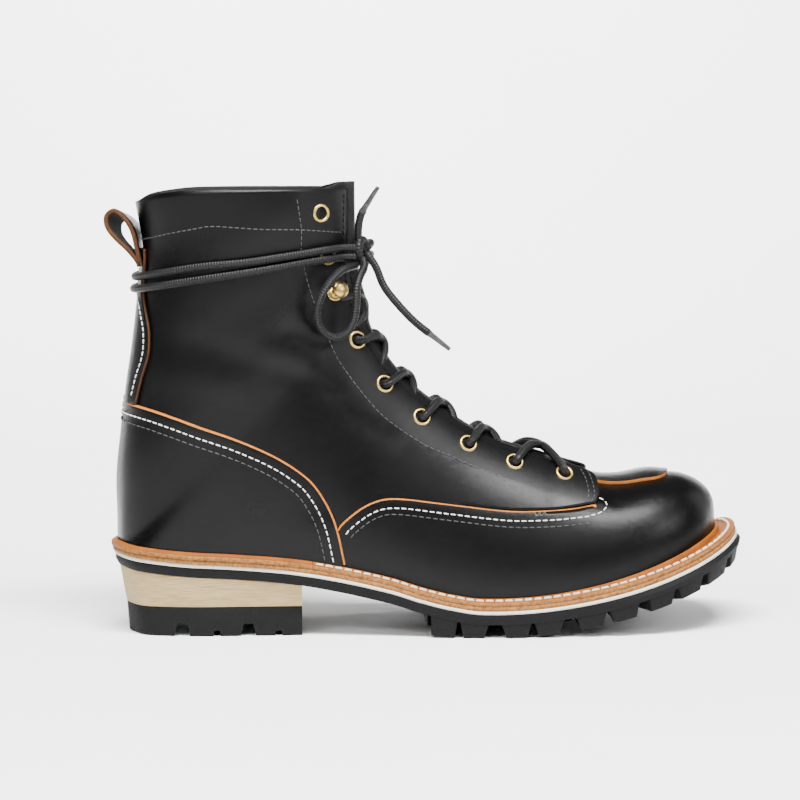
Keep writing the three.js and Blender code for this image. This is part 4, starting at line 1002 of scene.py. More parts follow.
def make_free_lace():
    """The knot, two turns round the shaft, two loops and two ends."""
    middle = np.array([lengthwise(KNOT[0]), KNOT[2] * SHAFT_WIDTH / 2, KNOT[1] * HEIGHT])
    knot = Patchwork()
    turn = np.linspace(0, 2 * np.pi, 40)
    wraps = (
        (4.0, 4.6, 0.0, 0.25, 1.5), (3.9, 4.2, 2.2, -0.5, 1.4), (3.3, 4.0, -2.4, 0.5, -1.2),
    )
    for width, height, lean, tilt, push in wraps:
        ring = np.stack([
            1.5 + 1.6 * np.cos(turn + tilt) + push * np.sin(2 * turn) * 0.25,
            width * np.cos(turn) + lean * np.sin(turn) * 0.5,
            height * np.sin(turn) + tilt * 1.5 * np.cos(turn) + lean * 0.6,
        ], axis=1)
        tube(knot, middle + ring, LACE / 2, turns_per_mm=1 / LACE)
    knot_piece = knot.piece("lace_knot_dressed", [waxed_lace])
    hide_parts("lace_knot")

    for which in ("upper", "lower"):
        path = turn_path(which)
        patch = Patchwork()
        tube(patch, path, LACE / 2, turns_per_mm=1 / LACE)
        piece = patch.piece(f"lace_turn_{which}_dressed", [waxed_lace])
        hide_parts(f"lace_turn_{which}")
        length = float(np.linalg.norm(np.diff(path, axis=0), axis=1).sum()) * MM
        to_row(path[0]).tolist()
        to_row(path).tolist()
    for line, name, far_end in (
        (LOOP_OUTER, "lace_loop_outer", "object"), (LOOP_INNER, "lace_loop_inner", "object"),
        (END_UPPER, "lace_end_upper", "bare"), (END_LOWER, "lace_end_lower", "bare"),
    ):
        piece, path, length = free_lace(name + "_dressed", line, name, far_end)
        to_row(path[0]).tolist()
        to_row(path).tolist()


make_free_lace()


# The upper
# Creases as lines in the side view, in millimetres, with a width and a height
CREASES = table(
    "x z to_x to_z width height",
    (88, 146, 104, 139, 5.0, -0.55), (78, 137, 101, 127, 6.0, 0.4), (84, 128, 108, 117, 5.0, -0.5),
    (40, 141, 66, 133, 7.0, -0.45), (30, 128, 58, 121, 8.0, 0.35), (118, 104, 136, 94, 5.0, -0.4),
    (96, 160, 108, 152, 4.5, -0.4), (60, 178, 84, 184, 9.0, -0.35),
)


def creases(points):
    """Soft ridges and troughs at the ankle: each a bell curve of the distance in the side view
    from a short line, faded towards the line's ends."""
    total = np.zeros(points.shape[:-1])
    for i in range(len(CREASES["x"])):
        start = np.array([CREASES["x"][i], CREASES["z"][i]], dtype=float)
        line = np.array([CREASES["to_x"][i], CREASES["to_z"][i]]) - start
        place = points[..., [0, 2]] - start
        share = place @ line / (line @ line)
        away = place - np.clip(share, 0, 1)[..., None] * line
        bell = np.exp(-(np.linalg.norm(away, axis=-1) / CREASES["width"][i]) ** 2)
        total += CREASES["height"][i] * bell
    return total


def mark_facing(piece):
    """Marks the paler leather in front of the facing's stitched line."""
    points = np.empty(len(piece.data.vertices) * 3)
    piece.data.vertices.foreach_get("co", points)
    points = points.reshape(-1, 3) / MM - ORIGIN
    x, z = drawn(FACING_STITCH, 200)
    line = np.interp(-points[:, 2], -z, x)
    mask = piece.data.attributes.new("facing", "FLOAT", "POINT")
    mask.data.foreach_set("value", smooth(points[:, 0] - line, -0.5, 0.5).astype(np.float32))


def make_shell():
    """Quarters, shaft and the part under the vamp: the upper's form from the seat to the
    throat and collar, with its wall."""
    shell = Patchwork()
    share = np.linspace(0, 1, 56)
    for side in (OUTER, INNER):
        flip = side < 0
        edge_turn = throat_turn(np.array(25.0), side)
        turns = edge_turn * share
        low, high = np.full_like(turns, 23.0), np.full_like(turns, LAST_ROW)
        for _ in range(34):
            row = (low + high) / 2
            p = side_point(row, side, turns)[0]
            top = curve_through(lengthwise(COLLAR["at"]), COLLAR["up"] * HEIGHT, p[..., 0])
            low, high = np.where(p[..., 2] < top, row, low), np.where(p[..., 2] < top, high, row)
        along = np.linspace(0, 1, 150)
        rows = THROAT_ROW + (low[None, :] - THROAT_ROW) * along[:, None]
        bottom = np.where(rows < SEAT_BACK, feather_turn(np.minimum(rows, SEAT_BACK)), 0)
        turns = bottom + (throat_turn(rows, side) - bottom) * share
        points, normals = side_surface(rows, side, turns)
        dip = instep_dip(rows, turns) * (1 - smooth(rows, THROAT_ROW, THROAT_ROW + 0.6))
        shell.add(points + normals * (creases(points) - dip)[..., None], 0, flip)
        rows = np.broadcast_to(np.linspace(0, THROAT_ROW, 40)[:, None], (40, len(share)))
        slit = throat_turn(np.array(THROAT_ROW), side)
        bottom = feather_turn(rows)
        turns = bottom + (slit - bottom) * share
        shell.add(side_surface(rows, side, turns, -instep_dip(rows, turns))[0], 0, flip)
        turns = slit + (1 - slit) * np.linspace(0, 1, 7)
        dip = instep_dip(rows[:, :7], turns)
        shell.add(side_surface(rows[:, :7], side, turns, -dip)[0], 0, flip)
    piece = shell.piece("shaft_and_quarters", [quarter_leather, lining_leather, dark_edge])
    wall(piece, UPPER_WALL, inside=1, rim=2)
    mark_facing(piece)
    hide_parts("upper")
    return piece


make_shell()


def side_line(line, side, count, shift=0.0, offset=0.0):
    """A drawn line laid on the upper: its rows, turns, points and normals. A shift moves it
    in the side view at right angles to its way."""
    x, z = drawn(line, count)
    if shift:
        way = unit(np.stack([np.gradient(x), np.gradient(z)], axis=1))
        x, z = x + way[:, 1] * shift, z - way[:, 0] * shift
    row, turn = place_seen_at(x, z)
    point, normal = side_surface(row, side, turn, offset)
    return row, turn, point, normal


# An overlay's outer face off the form, and the width of its sloped cut edge
OVERLAY_FACE = GAP + OVERLAY
EDGE_SLOPE = 0.85


def vamp_offset(row, turn):
    """The vamp's outer face: a shade lower under the toe tab."""
    under_tab = smooth(turn, 0.68, 0.9) * smooth(row, 3.6, 4.6)
    return OVERLAY_FACE - 0.9 * under_tab - instep_dip(row, turn)


def add_sloped_edge(patch, row, turn, inner_row, inner_turn, side, kind, flip,
                    face=OVERLAY_FACE, low=0.05):
    """The cut edge of an overlay: from its outer face, a slope's width inside the drawn edge,
    down to the leather below it. The drop is an eighth circle."""
    share = np.linspace(0, 1, 6)[None, :]
    rows = inner_row[:, None] + (row - inner_row)[:, None] * share
    turns = inner_turn[:, None] + (turn - inner_turn)[:, None] * share
    drop = face + (low - face) * (1 - np.sqrt(np.maximum(1 - share**2, 0)))
    patch.add(side_surface(rows, side, turns, drop)[0], kind, flip)


def corner_row():
    """The row and turn of the facing's front corner."""
    x, z = drawn(FACING_FRONT)
    return place_seen_at(x[:1], z[:1])


def wrinkle(points):
    """A small dent in the vamp in front of each facing's corner, along a line in the side view."""
    start, end, width, depth = np.array([236.0, 65.5]), np.array([243.5, 61.5]), 1.3, 0.5
    line = end - start
    place = points[..., [0, 2]] - start
    along = np.clip(place @ line / (line @ line), 0, 1)
    away = np.linalg.norm(place - along[..., None] * line, axis=-1)
    dent = depth * np.exp(-(away / width) ** 2)
    return np.stack([0 * dent, np.sign(points[..., 1]) * dent, 0.3 * dent], axis=-1)


def vamp_face(rows, side, turns):
    """The vamp's outer face, kept to its own side of the middle and on it at the ridge."""
    rows, turns = np.broadcast_arrays(rows, turns)
    points = side_surface(rows, side, turns, vamp_offset(rows, turns))[0]
    off_middle = np.maximum(side * points[..., 1], 0)
    points[..., 1] = np.where(turns < 0.9999, side * off_middle, 0)
    return points - wrinkle(points)


# The vamp starts a little behind the form's very tip, where the sections crowd together.
TIP_ROW = 0.12


def make_vamp():
    """The toe from its tip to the facings, and on each side a wing back to the counter."""
    vamp = Patchwork()
    count = 70
    tip = []
    corner, corner_turn = corner_row()
    for side in (OUTER, INNER):
        flip = side < 0
        low = np.linspace(0, 1, 26)
        high = np.linspace(0, 1, 30)
        rows = TIP_ROW + np.linspace(0, 1, count)[:, None] ** 1.3 * (corner - TIP_ROW)
        bottom = feather_turn(rows)
        turns = bottom + (corner_turn - bottom) * low
        first = vamp_face(rows, side, turns)
        vamp.add(first, 0, flip)
        turns = corner_turn + (1 - corner_turn) * high
        second = vamp_face(rows, side, turns)
        vamp.add(second, 0, flip)
        tip.append(np.concatenate([first[0], second[0, 1:]]))
        rows = np.linspace(0, 1, 8)[:, None] * (THROAT_ROW - 0.02 - corner) + corner
        vamp.add(vamp_face(rows, side, turns), 0, flip)
        row, turn, _, _ = side_line(WING_EDGE, side, 110)
        inner = side_line(WING_EDGE, side, 110, EDGE_SLOPE)
        bend = (corner - row[-1]) * (1 - smooth(row, corner, corner + 1))
        row, inner_row = (row + bend)[::-1], (inner[0] + bend)[::-1]
        turn, inner_turn = turn[::-1], inner[1][::-1]
        turn = turn + (corner_turn[0] - turn[0]) * (1 - smooth(row, corner, corner + 0.4))
        fade = smooth(np.arange(110), 0, 9)
        inner_row = row + (inner_row - row) * fade
        inner_turn = turn + (inner_turn - turn) * fade
        rows = inner_row[:, None] + 0 * low
        bottom = feather_turn(rows)
        turns = bottom + (inner_turn[:, None] - bottom) * low
        vamp.add(vamp_face(rows, side, turns), 0, flip)
        add_sloped_edge(vamp, row, turn, inner_row, inner_turn, side, 1, flip)
    across = np.array([0.0, 1.0])[None, :, None]
    vamp.add(tip[0][:, None] * (1 - across) + tip[1][:, None] * across, 0, True)
    piece = vamp.piece("vamp_dressed", [black_leather, raw_edge], weld=0.05)
    wall(piece, OVERLAY, inside=0, rim=1)
    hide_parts("vamp")


make_vamp()


def counter_over(points):
    """How much further out the counter cover lies near its front, where it laps the wing."""
    return 0.9 * smooth(points[..., 0], 84, 102) * (1 - smooth(points[..., 2], 52, 62))


def make_counter():
    """The counter cover: between the feather line and its drawn edge, round the heel. Rows and
    turns run straight between the two lines."""
    cover = Patchwork()
    count = 120
    x, z = drawn(COUNTER_EDGE, 400)
    keep = x[::-1] > side_point(np.array(20.0), OUTER, np.array(0.0))[0][0] + 0.4
    row, turn = place_seen_at(x[::-1][keep], z[::-1][keep])
    turn[-1] = 0.0
    at = np.linspace(0, 1, len(row))
    pick = np.linspace(0, 1, count) ** 0.9
    top_row, top_turn = np.interp(pick, at, row), np.interp(pick, at, turn)
    bottom_row = top_row[0] + (SEAT_BACK - top_row[0]) * pick
    bottom_turn = feather_turn(bottom_row)
    bottom_turn[-1] = 0.0
    top_turn = np.maximum(top_turn, 0)
    share = np.linspace(0, 1, 44)[None, :]
    x_top, z_top = side_point(top_row, OUTER, top_turn)[0][:, [0, 2]].T
    way = unit(np.stack([np.gradient(x_top), np.gradient(z_top)], axis=1))
    in_row, in_turn = place_seen_at(
        x_top - way[:, 1] * EDGE_SLOPE, z_top + way[:, 0] * EDGE_SLOPE)
    in_turn = np.maximum(in_turn, 0)
    in_turn[-1] = 0.0
    rows = bottom_row[:, None] + (in_row - bottom_row)[:, None] * share
    turns = bottom_turn[:, None] + (in_turn - bottom_turn)[:, None] * share
    for side in (OUTER, INNER):
        flat = side_point(rows, side, turns)[0]
        over = counter_over(flat)
        grid = side_surface(rows, side, turns, OVERLAY_FACE + over)[0]
        grid[-1, :, 1] = 0.0
        for _ in range(40):
            mean = (grid[:-2, 1:-1] + grid[2:, 1:-1] + grid[1:-1, :-2] + grid[1:-1, 2:]) / 4
            grid[1:-1, 1:-1] += 0.6 * (mean - grid[1:-1, 1:-1])
        cover.add(grid, 0, side < 0)
        add_sloped_edge(cover, top_row, top_turn, in_row, in_turn, side, 1, side < 0,
                        OVERLAY_FACE + over[:, -1:], 0.05 + 2.0 * over[:, -1:])
    piece = cover.piece("counter_cover_dressed", [black_leather, raw_edge])
    wall(piece, OVERLAY, inside=0, rim=1)
    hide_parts("counter_cover")


make_counter()


def make_facings():
    """Each facing's thick front: a flap with a rounded front corner that thins out towards the
    ankle, over the quarter."""
    for side, name in ((OUTER, "outer"), (INNER, "inner")):
        flap = Patchwork()
        share = np.linspace(0, 1, 40)
        x, z = drawn(FACING_FRONT, 24)
        front_row, front_turn = place_seen_at(x, z)
        edge = throat_turn(np.array(8.0), side)
        turn_at = front_turn[0] + (edge - front_turn[0]) * share
        start = np.interp(turn_at, front_turn, front_row)
        start = start + 0.62 * smooth(share, 0.55, 1.0) ** 2.2
        along = np.linspace(0, 1, 60)[:, None]
        rows = start[None, :] + (10.4 - start[None, :]) * along
        wing_row, wing_turn, _, _ = side_line(WING_EDGE, side, 90)
        low = np.interp(rows, wing_row[::-1], wing_turn[::-1]) + 0.004
        edge = throat_turn(np.maximum(rows, 7.9), side)
        turns = low + (edge - low) * share
        rise = facing_rise(rows) - 0.03
        flap.add(side_surface(rows, side, turns, rise)[0], 0, side < 0)
        piece = flap.piece(f"facing_front_{name}", [quarter_leather, dark_edge])
        mark_facing(piece)
        wall(piece, FACING_RISE, inside=0, rim=1)


make_facings()


def make_tongue():
    """The tongue: the form's inside at the throat, up past the collar to a rounded top."""
    tongue = Patchwork()
    across = np.linspace(-1, 1, 41)
    half = TONGUE_WIDTH / 2 * across
    side = np.where(across < 0, OUTER, INNER)
    low, high = np.full(41, 22.0), np.full(41, LAST_ROW)
    top = HEIGHT * 1.139 - 2.6 * across**2
    for _ in range(30):
        row = (low + high) / 2
        s = section_at(row)
        turn = turn_off_middle(widest_at(s, side), np.abs(half))
        z = side_surface(row, side, turn, -UPPER_WALL - GAP)[0][..., 2]
        low, high = np.where(z < top, row, low), np.where(z < top, high, row)
    rows = 6.9 + (low[None, :] - 6.9) * np.linspace(0, 1, 130)[:, None]
    s = section_at(rows)
    turn = turn_off_middle(widest_at(s, side[None, :]), np.abs(half)[None, :])
    dip = instep_dip(rows, 1.0) * (1 - smooth(rows, THROAT_ROW, THROAT_ROW + 1.2))
    bulge = (1.2 + 3.6 * smooth(rows, 14.5, 17)) * smooth(rows, 7.8, 9.5) \
        * (1 - smooth(np.abs(half), 5.5, 9.2))[None, :]
    offset = -UPPER_WALL - GAP - dip + bulge
    tongue.add(side_surface(rows, side[None, :], turn, offset)[0], 0, True)
    piece = tongue.piece("tongue_dressed", [tongue_leather, dark_edge])
    wall(piece, TONGUE_THICKNESS, inside=0, rim=1)
    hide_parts("tongue")


make_tongue()


def make_tab():
    """The toe tab: a strip with a round front end, laid on the vamp."""
    tab = Patchwork()
    back, front, half = lengthwise(0.768), lengthwise(0.925), TAB_WIDTH / 2
    nose = front - half * 0.7
    x = np.concatenate([np.linspace(back, nose, 26)[:-1],
                        nose + half * 0.7 * np.sin(np.linspace(0, np.pi / 2, 16) * 0.985)])
    width = np.where(x < nose, half * (0.86 + 0.14 * smooth(x, back, nose)),
                     half * np.sqrt(np.maximum(1 - ((x - nose) / (half * 0.7)) ** 2, 0)))
    row = np.interp(x, section_at(np.linspace(8, 0, 400))["rx"], np.linspace(8, 0, 400))
    across = np.linspace(-1, 1, 33)
    y = width[:, None] * across[None, :]
    s = section_at(row[:, None] + 0 * y)
    side = np.where(across < 0, OUTER, INNER)[None, :] + 0 * y
    turn = turn_off_middle(widest_at(s, side), np.abs(y))
    offset = vamp_offset(row[:, None] + 0 * y, turn) + 1.6
    tab.add(side_surface(row[:, None] + 0 * y, side, turn, offset)[0], 0, False)
    piece = tab.piece("toe_tab_dressed", [black_leather, raw_edge])
    wall(piece, TAB_THICKNESS, inside=1, rim=1)
    round_edges(piece, 0.35)
    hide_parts("toe_tab")


make_tab()


def make_backstay():
    """The backstay strip, symmetric about the back, and the pull loop, one strap folded over."""
    strip = Patchwork()
    x, z = drawn(BACKSTAY_EDGE, 60)
    row, turn = place_seen_at(np.append(x[0] - 0.8, x), np.append(z[0] - 4, z))
    across = np.linspace(0, 1, 12)[None, :]
    for side in (OUTER, INNER):
        points = side_surface(row[:, None] + 0 * across, side, turn[:, None] * across,
                              GAP + BACKSTAY)[0]
        strip.add(points, 0, side < 0)
    piece = strip.piece("backstay_dressed", [black_leather, loop_edge])
    wall(piece, BACKSTAY, inside=0, rim=1)
    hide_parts("backstay")

    x, z = lengthwise(PULL_LOOP["at"]), PULL_LOOP["up"] * HEIGHT
    path = rounded_path(np.stack([x, 0 * x, z], axis=1), 0.8)
    way = unit(np.gradient(path, axis=0))
    outward = np.stack([-way[:, 2], 0 * way[:, 0], way[:, 0]], axis=1)
    half, thick = LOOP_WIDTH / 2, LOOP_THICKNESS / 2
    corner = 0.45
    profile = (
        (-half, -thick + corner), (-half, thick - corner), (-half + corner, thick),
        (-half * 0.5, thick), (0, thick), (half * 0.5, thick), (half - corner, thick),
        (half, thick - corner), (half, -thick + corner), (half - corner, -thick),
        (half * 0.5, -thick), (0, -thick), (-half * 0.5, -thick), (-half + corner, -thick),
    )
    kinds = (1, 1, 0, 0, 0, 0, 1, 1, 1, 2, 2, 2, 2, 1)
    loop = Patchwork()
    y = np.array([0.0, 1.0, 0.0])
    along = np.linspace(0, 1, len(path))[:, None]
    lean = np.array([6.4, 0.0, -4.2]) * np.sin(np.pi * np.clip(along, 0, 1)) ** 1.5
    rings = np.stack([path + y * a + outward * b + lean * (a / half + 1) / 2
                      for a, b in profile], axis=1)
    for k, kind in enumerate(kinds):
        pair = rings[:, [k, (k + 1) % len(profile)]]
        loop.add(pair, kind, True)
    for end, turned in ((0, True), (-1, False)):
        fan = np.stack([rings[end, :7], rings[end, 13:6:-1]], axis=0)
        loop.add(fan, 0, turned)
    strap = loop.piece("pull_loop_strap", [black_leather, loop_edge, flesh_side], sharp=50)


make_backstay()


# The sole
def ease(t):
    """An S curve from 0 to 1."""
    return smooth(t, 0, 1)


def by_place(x, heel, side, toe):
    """A value that changes softly along the sole from the heel's to the side's to the toe's."""
    towards_side = ease((x - HEEL_BREAST * 0.6) / (SOLE_LENGTH * 0.24))
    towards_toe = ease((x / SOLE_LENGTH - 0.68) / 0.26)
    return heel + (side - heel) * towards_side + (toe - side) * towards_toe


def feather_halves(count=420):
    """The feather line in plan from the toe's tip to the heel's back, once for each side, with
    the ways out from it. The closed line is smoothed by a running mean over 6 mm."""
    rows = np.concatenate([np.linspace(0, 1, 160) ** 2 * 4, np.linspace(4.02, SEAT_BACK, 600)])
    sides = []
    for side in (OUTER, INNER):
        sides.append(side_point(rows, side, feather_turn(rows))[0][:, :2])
    loop = np.vstack([sides[0], sides[1][::-1]])
    run = run_along(loop)
    around = run[-1] + np.linalg.norm(loop[0] - loop[-1])
    closed = np.vstack([loop, loop[:1]])
    run = np.append(run, around)
    n = int(around / 0.25)
    at = np.arange(n) / n * around
    loop = np.stack([np.interp(at, run, closed[:, k]) for k in range(2)], axis=1)
    reach = 12
    for _ in range(2):
        padded = np.vstack([loop[-reach:], loop, loop[:reach]])
        total = np.cumsum(np.vstack([[0, 0], padded]), axis=0)
        loop = (total[2 * reach + 1:] - total[:-2 * reach - 1]) / (2 * reach + 1)
    tip, back = int(loop[:, 0].argmax()), int(loop[:, 0].argmin())
    way = np.roll(loop, -8, axis=0) - np.roll(loop, 8, axis=0)
    out = unit(np.stack([way[:, 1], -way[:, 0]], axis=1))
    if (out[tip] @ np.array([1.0, 0.0])) < 0:
        out = -out
    halves = {}
    ahead = np.arange(tip, tip + (back - tip) % n + 1) % n
    behind = np.arange(tip, tip - (tip - back) % n - 1, -1) % n
    for index in (ahead, behind):
        pick = np.linspace(0, len(index) - 1, count).round().astype(int)
        line, ways = loop[index[pick]], out[index[pick]]
        side = OUTER if line[count // 2, 1] < 0 else INNER
        halves[side] = (line, ways)
    return halves


FEATHER = feather_halves()


def reach_at(x, edge):
    """How far an edge lies outside the feather line: a number, or the sole's outline less a
    setback for the heel, the side and the toe."""
    if isinstance(edge, tuple):
        return by_place(x, HEEL_REACH, SIDE_REACH, TOE_REACH) - by_place(x, *edge)
    return np.full_like(x, edge)


def edge_points(side, u, edge, height):
    """Points of an edge at shares u of the way from the toe's tip to the heel's back."""
    line, ways = FEATHER[side]
    at = np.linspace(0, 1, len(line))
    p = np.stack([np.interp(u, at, line[:, k]) for k in range(2)], axis=-1)
    w = unit(np.stack([np.interp(u, at, ways[:, k]) for k in range(2)], axis=-1))
    p = p + w * reach_at(p[..., 0], edge)[..., None]
    z = height(p[..., 0]) if callable(height) else np.full_like(p[..., 0], height)
    return np.concatenate([p, z[..., None]], axis=-1)


def share_at(side, x, edge):
    """The share of the way from the tip to the back at which an edge passes x."""
    u = np.linspace(0, 1, 1600)
    along = edge_points(side, u, edge, 0.0)[:, 0]
    return np.interp(-np.asarray(x, dtype=float), -along, u)


def raised(height, by):
    """A height line moved up by a number of millimetres."""
    return lambda x: height(x) + by


def sole_band(patch, profile, kinds, spans, closed=True, cap_ends=False):
    """Carries a profile of (edge, height) points along the sole's sides. Spans give each
    side's shares, one row of shares or a grid with a column for each profile point."""
    for side in (OUTER, INNER):
        u = np.asarray(spans[side])
        if u.ndim == 1:
            u = np.repeat(u[:, None], len(profile), axis=1)
        rings = np.stack([edge_points(side, u[:, k], edge, height)
                          for k, (edge, height) in enumerate(profile)], axis=1)
        last = len(profile) if closed else len(profile) - 1
        for k in range(last):
            pair = rings[:, [k, (k + 1) % len(profile)]]
            patch.add(pair, kinds[k], side > 0)
        if cap_ends:
            half = (len(profile) + 1) // 2
            for end, turned in cap_ends:
                fan = np.stack([rings[end, :half], rings[end, ::-1][:half]])
                patch.add(fan, kinds[0], (side > 0) != turned)


def sole_cap(patch, edge, height, kind, spans, up, columns=14):
    """A surface across the sole between the two sides' edges."""
    outer = edge_points(OUTER, np.asarray(spans[OUTER]), edge, height)
    inner = edge_points(INNER, np.asarray(spans[INNER]), edge, height)
    across = np.linspace(0, 1, columns)[None, :, None]
    grid = outer[:, None] * (1 - across) + inner[:, None] * across
    if callable(height):
        grid[..., 2] = height(grid[..., 0])
    patch.add(grid, kind, up)


# The whole way from the toe's tip to the heel's back
FULL = {OUTER: np.linspace(0, 1, 420), INNER: np.linspace(0, 1, 420)}


def slab(name, edge, low, high, material, node, chamfer=0.25):
    """A flat layer of the sole with softly broken edges."""
    inner = tuple(v + chamfer for v in edge)
    patch = Patchwork()
    profile = [(inner, low), (edge, raised(low, chamfer)), (edge, raised(high, -chamfer)),
               (inner, high)]
    sole_band(patch, profile, [0, 0, 0], FULL, closed=False)
    sole_cap(patch, inner, low, 0, FULL, False)
    sole_cap(patch, inner, high, 0, FULL, True)
    piece = patch.piece(name, [material], sharp=60)
    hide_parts(node)
    return piece


# How far each layer's edge lies inside the sole's outline at the heel, the side and the toe
CREAM_EDGE = (1.3, 0.2, 1.5)
MIDSOLE_EDGE = (0.6, 0.5, 2.3)
WELT_EDGE = (0.0, 0.5, 2.8)
RUBBER_EDGE = (1.9, 0.0, 0.0)
RUBBER_TOP_EDGE = (1.9, 0.0, 1.6)
RUBBER_FOOT = (3.4, 0.7, 0.6)
TREAD_EDGE = (4.0, 1.6, 2.2)
# How far the storm rib's outer foot lies outside the feather line
RIB_OUT = 3.5


def toe_raise(x):
    """How far the storm rib has grown towards the toe, from 0 to 1."""
    return np.clip((x / SOLE_LENGTH - 0.6) / 0.33, 0, 1) ** 2


def storm(x):
    """The storm rib's top."""
    return welt_top(x) + STORM_HEIGHT + (TOE_STORM_HEIGHT - STORM_HEIGHT) * toe_raise(x)


def make_midsoles():
    """The cream and the leather midsole, a hair apart from their neighbours."""
    slab("cream_midsole_dressed", CREAM_EDGE, raised(rubber_top, 0.06), cream_top, cream_rubber,
         "cream_midsole")
    slab("leather_midsole_dressed", MIDSOLE_EDGE, raised(cream_top, 0.06), raised(seat, -0.02),
         welt_side, "leather_midsole")


make_midsoles()


def make_welt(name, node, spans, ends):
    """The flat band that is stitched to the sole, with the rib that stands against the upper:
    a soft hollow between them carries the stitches."""
    edge = WELT_EDGE

    def inside(by):
        """The welt's edge moved inwards."""
        return tuple(v + by for v in edge)

    profile = [
        (1.0, raised(seat, 0.04)), (inside(0.3), raised(seat, 0.04)), (edge, raised(seat, 0.3)),
        (edge, raised(welt_top, -0.35)), (inside(0.12), raised(welt_top, -0.1)),
        (inside(0.4), welt_top), (inside(1.6), raised(welt_top, -0.02)),
        (RIB_OUT + 1.5, raised(welt_top, 0.05)), (RIB_OUT + 0.75, raised(welt_top, 0.35)),
        (RIB_OUT + 0.3, raised(storm, -0.55)), (RIB_OUT - 0.1, raised(storm, -0.12)),
        (RIB_OUT - 0.6, storm), (RIB_OUT - 1.1, raised(storm, -0.08)),
        (RIB_OUT - 1.5, raised(storm, -0.5)), (1.0, raised(storm, -1.0)),
    ]
    kinds = [1, 1, 1, 1, 0, 0, 0, 0, 0, 0, 0, 0, 0, 0, 0]
    patch = Patchwork()
    sole_band(patch, profile, kinds, spans, cap_ends=ends)
    piece = patch.piece(name, [welt_top_leather, welt_side], sharp=60)
    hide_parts(node)


make_welt("welt_dressed", "welt", {
    side: np.linspace(0, share_at(side, RAND_JOINT + GAP / 2, WELT_EDGE), 330)
    for side in (OUTER, INNER)}, [(-1, False)])
make_welt("heel_rand_dressed", "heel_rand", {
    side: np.linspace(share_at(side, RAND_JOINT, WELT_EDGE), 1, 170)
    for side in (OUTER, INNER)}, [(0, True)])


def gap_line(gaps, low, high, shift=0.0, deep=None):
    """The corners of a row of gaps along x and the tread's height there: the low line between
    gaps, with a slanted wall up to the high line at each gap's root."""
    def height(x):
        """The tread's height at x."""
        value = low(x)
        for i in range(len(gaps["at"])):
            middle = (gaps["at"][i] + shift) * SOLE_LENGTH
            mouth, root = gaps["mouth"][i] / 2 * SOLE_LENGTH, gaps["root"][i] / 2 * SOLE_LENGTH
            share = np.clip((mouth - np.abs(x - middle)) / (mouth - root), 0, 1)
            top = high(x) if deep is None else low(x) + gaps["deep"][i] * deep
            value = np.where(share > 0, low(x) + (top - low(x)) * share, value)
        return value
    corners = [(gaps["at"] + shift) * SOLE_LENGTH + sign * gaps[part] / 2 * SOLE_LENGTH
               for part in ("mouth", "root") for sign in (-1, 1)]
    return height, np.sort(np.concatenate(corners))


# How far inside the feather line the rim of lugs ends and the island of bars begins
LUG_IN = -(BALL_WIDTH * 0.26 - BALL_WIDTH * 0.05)
ISLAND_IN = -BALL_WIDTH * 0.26


def make_outsole():
    """The rubber outsole: a base along the whole boot, a rim of lugs round the forefoot and an
    island of bars inside it."""
    patch = Patchwork()
    mid = raised(rubber_base, BASE_THICKNESS / 2)
    profile = [(RUBBER_FOOT, rubber_base), (RUBBER_EDGE, mid), (RUBBER_TOP_EDGE, rubber_top)]
    sole_band(patch, profile, [0, 0], FULL, closed=False)
    sole_cap(patch, RUBBER_FOOT, rubber_base, 0, FULL, False)
    sole_cap(patch, RUBBER_TOP_EDGE, rubber_top, 0, FULL, True)

    tread, corners = gap_line(LUG_GAPS, ground, raised(rubber_base, 0.35))
    spans = {}
    for side in (OUTER, INNER):
        stop = share_at(side, LUG_START, TREAD_EDGE)
        at_corners = share_at(side, corners, TREAD_EDGE)
        spans[side] = np.unique(np.concatenate([np.linspace(0, stop, 260), at_corners]))
    profile = [
        (RUBBER_FOOT, mid), (TREAD_EDGE, raised(tread, 0.5)),
        (tuple(v + 0.5 for v in TREAD_EDGE), tread), (LUG_IN + 0.5, tread),
        (LUG_IN, raised(tread, 0.5)), (LUG_IN, mid),
    ]
    sole_band(patch, profile, [0] * 6, spans, cap_ends=[(-1, False)])

    tread, corners = gap_line(LUG_GAPS, ground, raised(rubber_base, 0.35), shift=0.028)
    edges = {}
    u = np.linspace(0, 1, 1600)
    for side in (OUTER, INNER):
        line = edge_points(side, u, ISLAND_IN, 0.0)
        nose = int(line[:, 0].argmax())
        edges[side] = line[nose:]
    nose = min(line[0, 0] for line in edges.values()) - 0.5
    x = np.unique(np.concatenate([np.linspace(LUG_START, nose, 130), corners[corners < nose]]))
    y = {side: np.interp(-x, -edges[side][:, 0], edges[side][:, 1]) for side in edges}
    across = np.linspace(0, 1, 9)
    columns = [y[OUTER] + (y[INNER] - y[OUTER]) * a for a in across]
    for height, up in ((tread, False), (mid, True)):
        z = height(x)
        grid = np.stack([np.stack([x, c, z], axis=1) for c in columns], axis=1)
        patch.add(grid, 0, not up)
    for side, turned in ((OUTER, True), (INNER, False)):
        wall_points = np.stack([np.stack([x, y[side], h(x)], axis=1) for h in (tread, mid)],
                               axis=1)
        patch.add(wall_points, 0, turned)
    for end, turned in ((0, False), (-1, True)):
        face = np.stack([[[x[end], c[end], h(x[end:][:1])[0]] for c in columns]
                         for h in (tread, mid)])
        patch.add(face, 0, turned)
    piece = patch.piece("outsole_dressed", [charcoal_rubber], sharp=32)
    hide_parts("outsole")


make_outsole()


def heel_edge(share):
    """A heel edge's setback, tapering by a share towards the floor."""
    setback = RUBBER_FOOT[0] + HEEL_TAPER * share
    return (setback - 1.3 * share, setback, setback)


